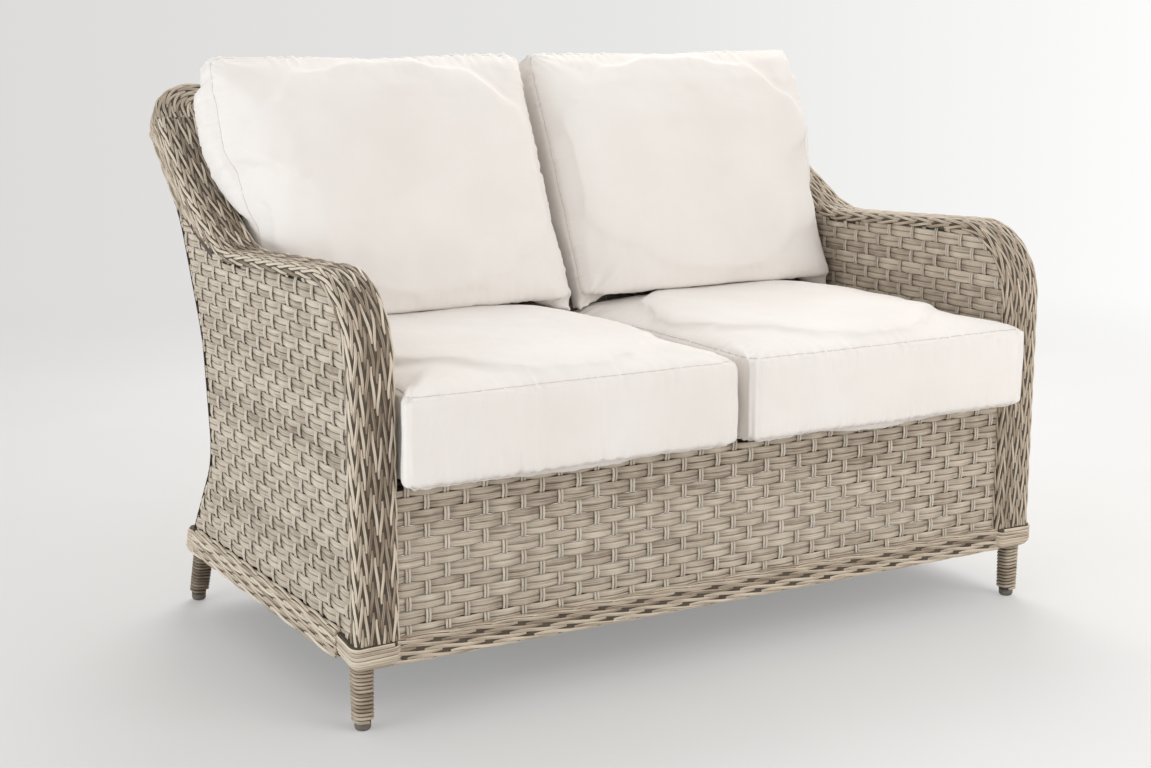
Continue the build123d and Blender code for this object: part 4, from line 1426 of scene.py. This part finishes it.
back_mesh = stuffed(
    "back_cushion_fill_right", lambda places: closeness(back_measure(places)[0], back_seams, sewn_reach),
    (tuple(lean_out), (0, lean[0], lean[1]), (0.7, 0, 0.7)),
    (shoulder(), sitting(5 * mm, 70 * mm), sitting(545 * mm, 607 * mm)), 7 * mm,
)

for side_name, mesh_of in (("right", lambda mesh: mesh.copy()), ("left", mirrored_mesh)):
    seed = 3.0 if side_name == "right" else 47.0
    for kind, source, measure, seams, ways in (
        ("seat", seat_mesh, seat_measure, seat_seams, [((0, 0, level), (0, 0, 1)) for level in seat_seams]),
        ("back", back_mesh, back_measure, back_seams,
         [(back_origin + lean_out * reach, lean_out) for reach in back_seams]),
    ):
        mesh = creased(mesh_of(source), measure, seams, seed + (20 if kind == "back" else 0))
        mesh.materials.clear()
        mesh.materials.append(cloth_finish)
        mesh.name = f"{side_name}_{kind}_cushion"
        cushion = place(mesh.name, mesh)
        body = f"{kind}_{side_name}"
        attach(cushion, body)
        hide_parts(f"{kind}_cushion_cover_{side_name}", f"{kind}_cushion_fill_{side_name}")
        for number, (spot, way) in enumerate(ways):
            guides = seam_guides(mesh, spot, way)
            if guides.count:
                strands(
                    f"{side_name}_{kind}_seam_{number + 1}", guides, seam_finish, 1.5 * mm, 1.1 * mm,
                    spacing=8 * mm, slot="cushion_fabric", body=body,
                )


# Finishes of the CAD pieces that show
for name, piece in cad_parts.items():
    # The braid and border cores, and the leg cores below, are painted dark as the shade between their strands
    if name.startswith(("arm_braid", "crest_braid", "side_border", "front_border", "rear_border")):
        finish = shade_painted_core_finish
    elif name.startswith("deck_straps"):
        finish = webbing_finish
    elif name.startswith("glide"):
        finish = glide_finish
    elif name.startswith("leg_core"):
        finish = shade_painted_core_finish
    elif "cushion" in name:
        finish = cloth_finish
    else:
        finish = metal_finish
    for slot_place in piece.material_slots:
        slot_place.material = finish
    if not piece.material_slots:
        piece.data.materials.append(finish)

# Floor and a far wall round it, which fade into the pale backdrop away from the loveseat
floor_reach = 30.0
fade_start, fade_end = 1.6, 4.5
shadow_lift = 0.32
backdrop_span = 0.31
eye_at = (-1.7641, -2.92444, 1.0920)
eye_turn = radians(-30.52)
world_light = (0.70, 0.69, 0.68)
floor_mesh = bpy.data.meshes.new("floor")
rim = [(floor_reach * cos(turn), floor_reach * sin(turn)) for turn in np.arange(48) * pi / 24]
floor_mesh.from_pydata(
    [(x, y, 0) for x, y in rim] + [(x, y, floor_reach) for x, y in rim],
    [], [tuple(range(48))] + [((at + 1) % 48, at, at + 48, (at + 1) % 48 + 48) for at in range(48)],
)
floor = place("floor", floor_mesh)
floor_finish, tree, shader = material("studio floor", roughness=0.9)
spot = node(tree, "ShaderNodeTexCoord").outputs["Object"]
cloud = cloudy(tree, spot, 2.0)
paving = ramp(tree, cloud, ((0.3, (0.74, 0.73, 0.72)), (0.7, (0.76, 0.75, 0.74))))
tree.links.new(paving, shader.inputs["Base Color"])
away = node(tree, "ShaderNodeVectorMath", {0: spot}, operation="LENGTH").outputs["Value"]
# Near the loveseat a share of the backdrop glow is mixed into the floor, painting light into its shadow
fade = node(
    tree, "ShaderNodeMapRange",
    {"Value": away, "From Min": fade_start, "From Max": fade_end, "To Min": shadow_lift},
    interpolation_type="SMOOTHSTEP",
).outputs[0]
fade = calc(tree, "MULTIPLY", fade, node(tree, "ShaderNodeLightPath").outputs["Is Camera Ray"])
far = node(tree, "ShaderNodeMath", {0: away, 1: floor_reach - 0.2}, operation="GREATER_THAN").outputs[0]
relative = vector(tree, "SUBTRACT", spot, (eye_at[0], eye_at[1], 0))
rightward = node(
    tree, "ShaderNodeVectorMath", {0: relative, 1: (cos(eye_turn), sin(eye_turn), 0)}, operation="DOT_PRODUCT"
).outputs["Value"]
distance = node(tree, "ShaderNodeVectorMath", {0: relative}, operation="LENGTH").outputs["Value"]
bearing = calc(tree, "DIVIDE", rightward, calc(tree, "MAXIMUM", distance, 0.5))
tone = node(
    tree, "ShaderNodeMapRange", {"Value": bearing, "From Min": -backdrop_span, "From Max": backdrop_span}
).outputs[0]
# The backdrop glow is painted darker to the left and brighter to the right, as the studio light falls on it
backdrop = ramp(
    tree, tone, ((0.0, (0.72, 0.71, 0.705)), (0.55, (0.80, 0.795, 0.79)), (1.0, (0.99, 0.988, 0.985)))
)
glow = node(tree, "ShaderNodeEmission", {"Color": backdrop, "Strength": 1.0}).outputs[0]
mixed = node(tree, "ShaderNodeMixShader", {0: fade, 1: shader.outputs[0], 2: glow}).outputs[0]
sky = node(tree, "ShaderNodeEmission", {"Color": (*world_light, 1), "Strength": 1.0}).outputs[0]
unseen = calc(tree, "SUBTRACT", 1.0, node(tree, "ShaderNodeLightPath").outputs["Is Camera Ray"])
beyond = calc(tree, "MULTIPLY", far, unseen)
mixed = node(tree, "ShaderNodeMixShader", {0: beyond, 1: mixed, 2: sky}).outputs[0]
tree.links.new(mixed, tree.nodes["Material Output"].inputs["Surface"])
floor_mesh.materials.append(floor_finish)

# Light: pale surroundings, a broad lamp high behind on the right, one on the left and a soft one in front
world = bpy.data.worlds.new("studio")
bpy.context.scene.world = world
world.use_nodes = True
tree = world.node_tree
background = tree.nodes["Background"]
background.inputs["Color"].default_value = (*world_light, 1)
background.inputs["Strength"].default_value = 1.0
seen = node(tree, "ShaderNodeBackground", {"Color": (0.85, 0.845, 0.84, 1), "Strength": 1.0}).outputs[0]
paths = node(tree, "ShaderNodeLightPath")
direct = calc(tree, "MAXIMUM", paths.outputs["Is Camera Ray"],
              calc(tree, "MAXIMUM", paths.outputs["Is Glossy Ray"], paths.outputs["Is Transmission Ray"]))
mixed = node(tree, "ShaderNodeMixShader", {0: direct, 1: background.outputs[0], 2: seen}).outputs[0]
tree.links.new(mixed, tree.nodes["World Output"].inputs["Surface"])


def lamp(name, place_at, aim, size, power, colour=(1, 1, 1)):
    data = bpy.data.lights.new(name, "AREA")
    data.shape, data.size, data.size_y, data.energy, data.color = "RECTANGLE", size[0], size[1], power, colour
    made = bpy.data.objects.new(name, data)
    made.location = place_at
    made.rotation_euler = (Vector(aim) - Vector(place_at)).to_track_quat("-Z", "Y").to_euler()
    bpy.context.scene.collection.objects.link(made)


lamp("behind", (1.4, 1.9, 3.0), (0, 0, 0.4), (2.4, 2.4), 70, (1, 0.995, 0.98))
lamp("front", (1.6, -3.6, 2.2), (0, 0, 0.5), (2.6, 2.6), 56, (1, 0.985, 0.965))
lamp("left", (-3.7, -0.5, 0.64), (0, 0, 0.5), (2.2, 0.95), 48, (0.88, 0.95, 1.0))

# Camera
eye = bpy.data.cameras.new("camera")
eye.lens, eye.sensor_width = 57.99, 36.0
eye.dof.use_dof = False
camera = bpy.data.objects.new("camera", eye)
camera.location = eye_at
camera.rotation_euler = (radians(90 - 11.35), 0, eye_turn)
bpy.context.scene.collection.objects.link(camera)
bpy.context.scene.camera = camera
bpy.context.scene.view_settings.view_transform = "Standard"
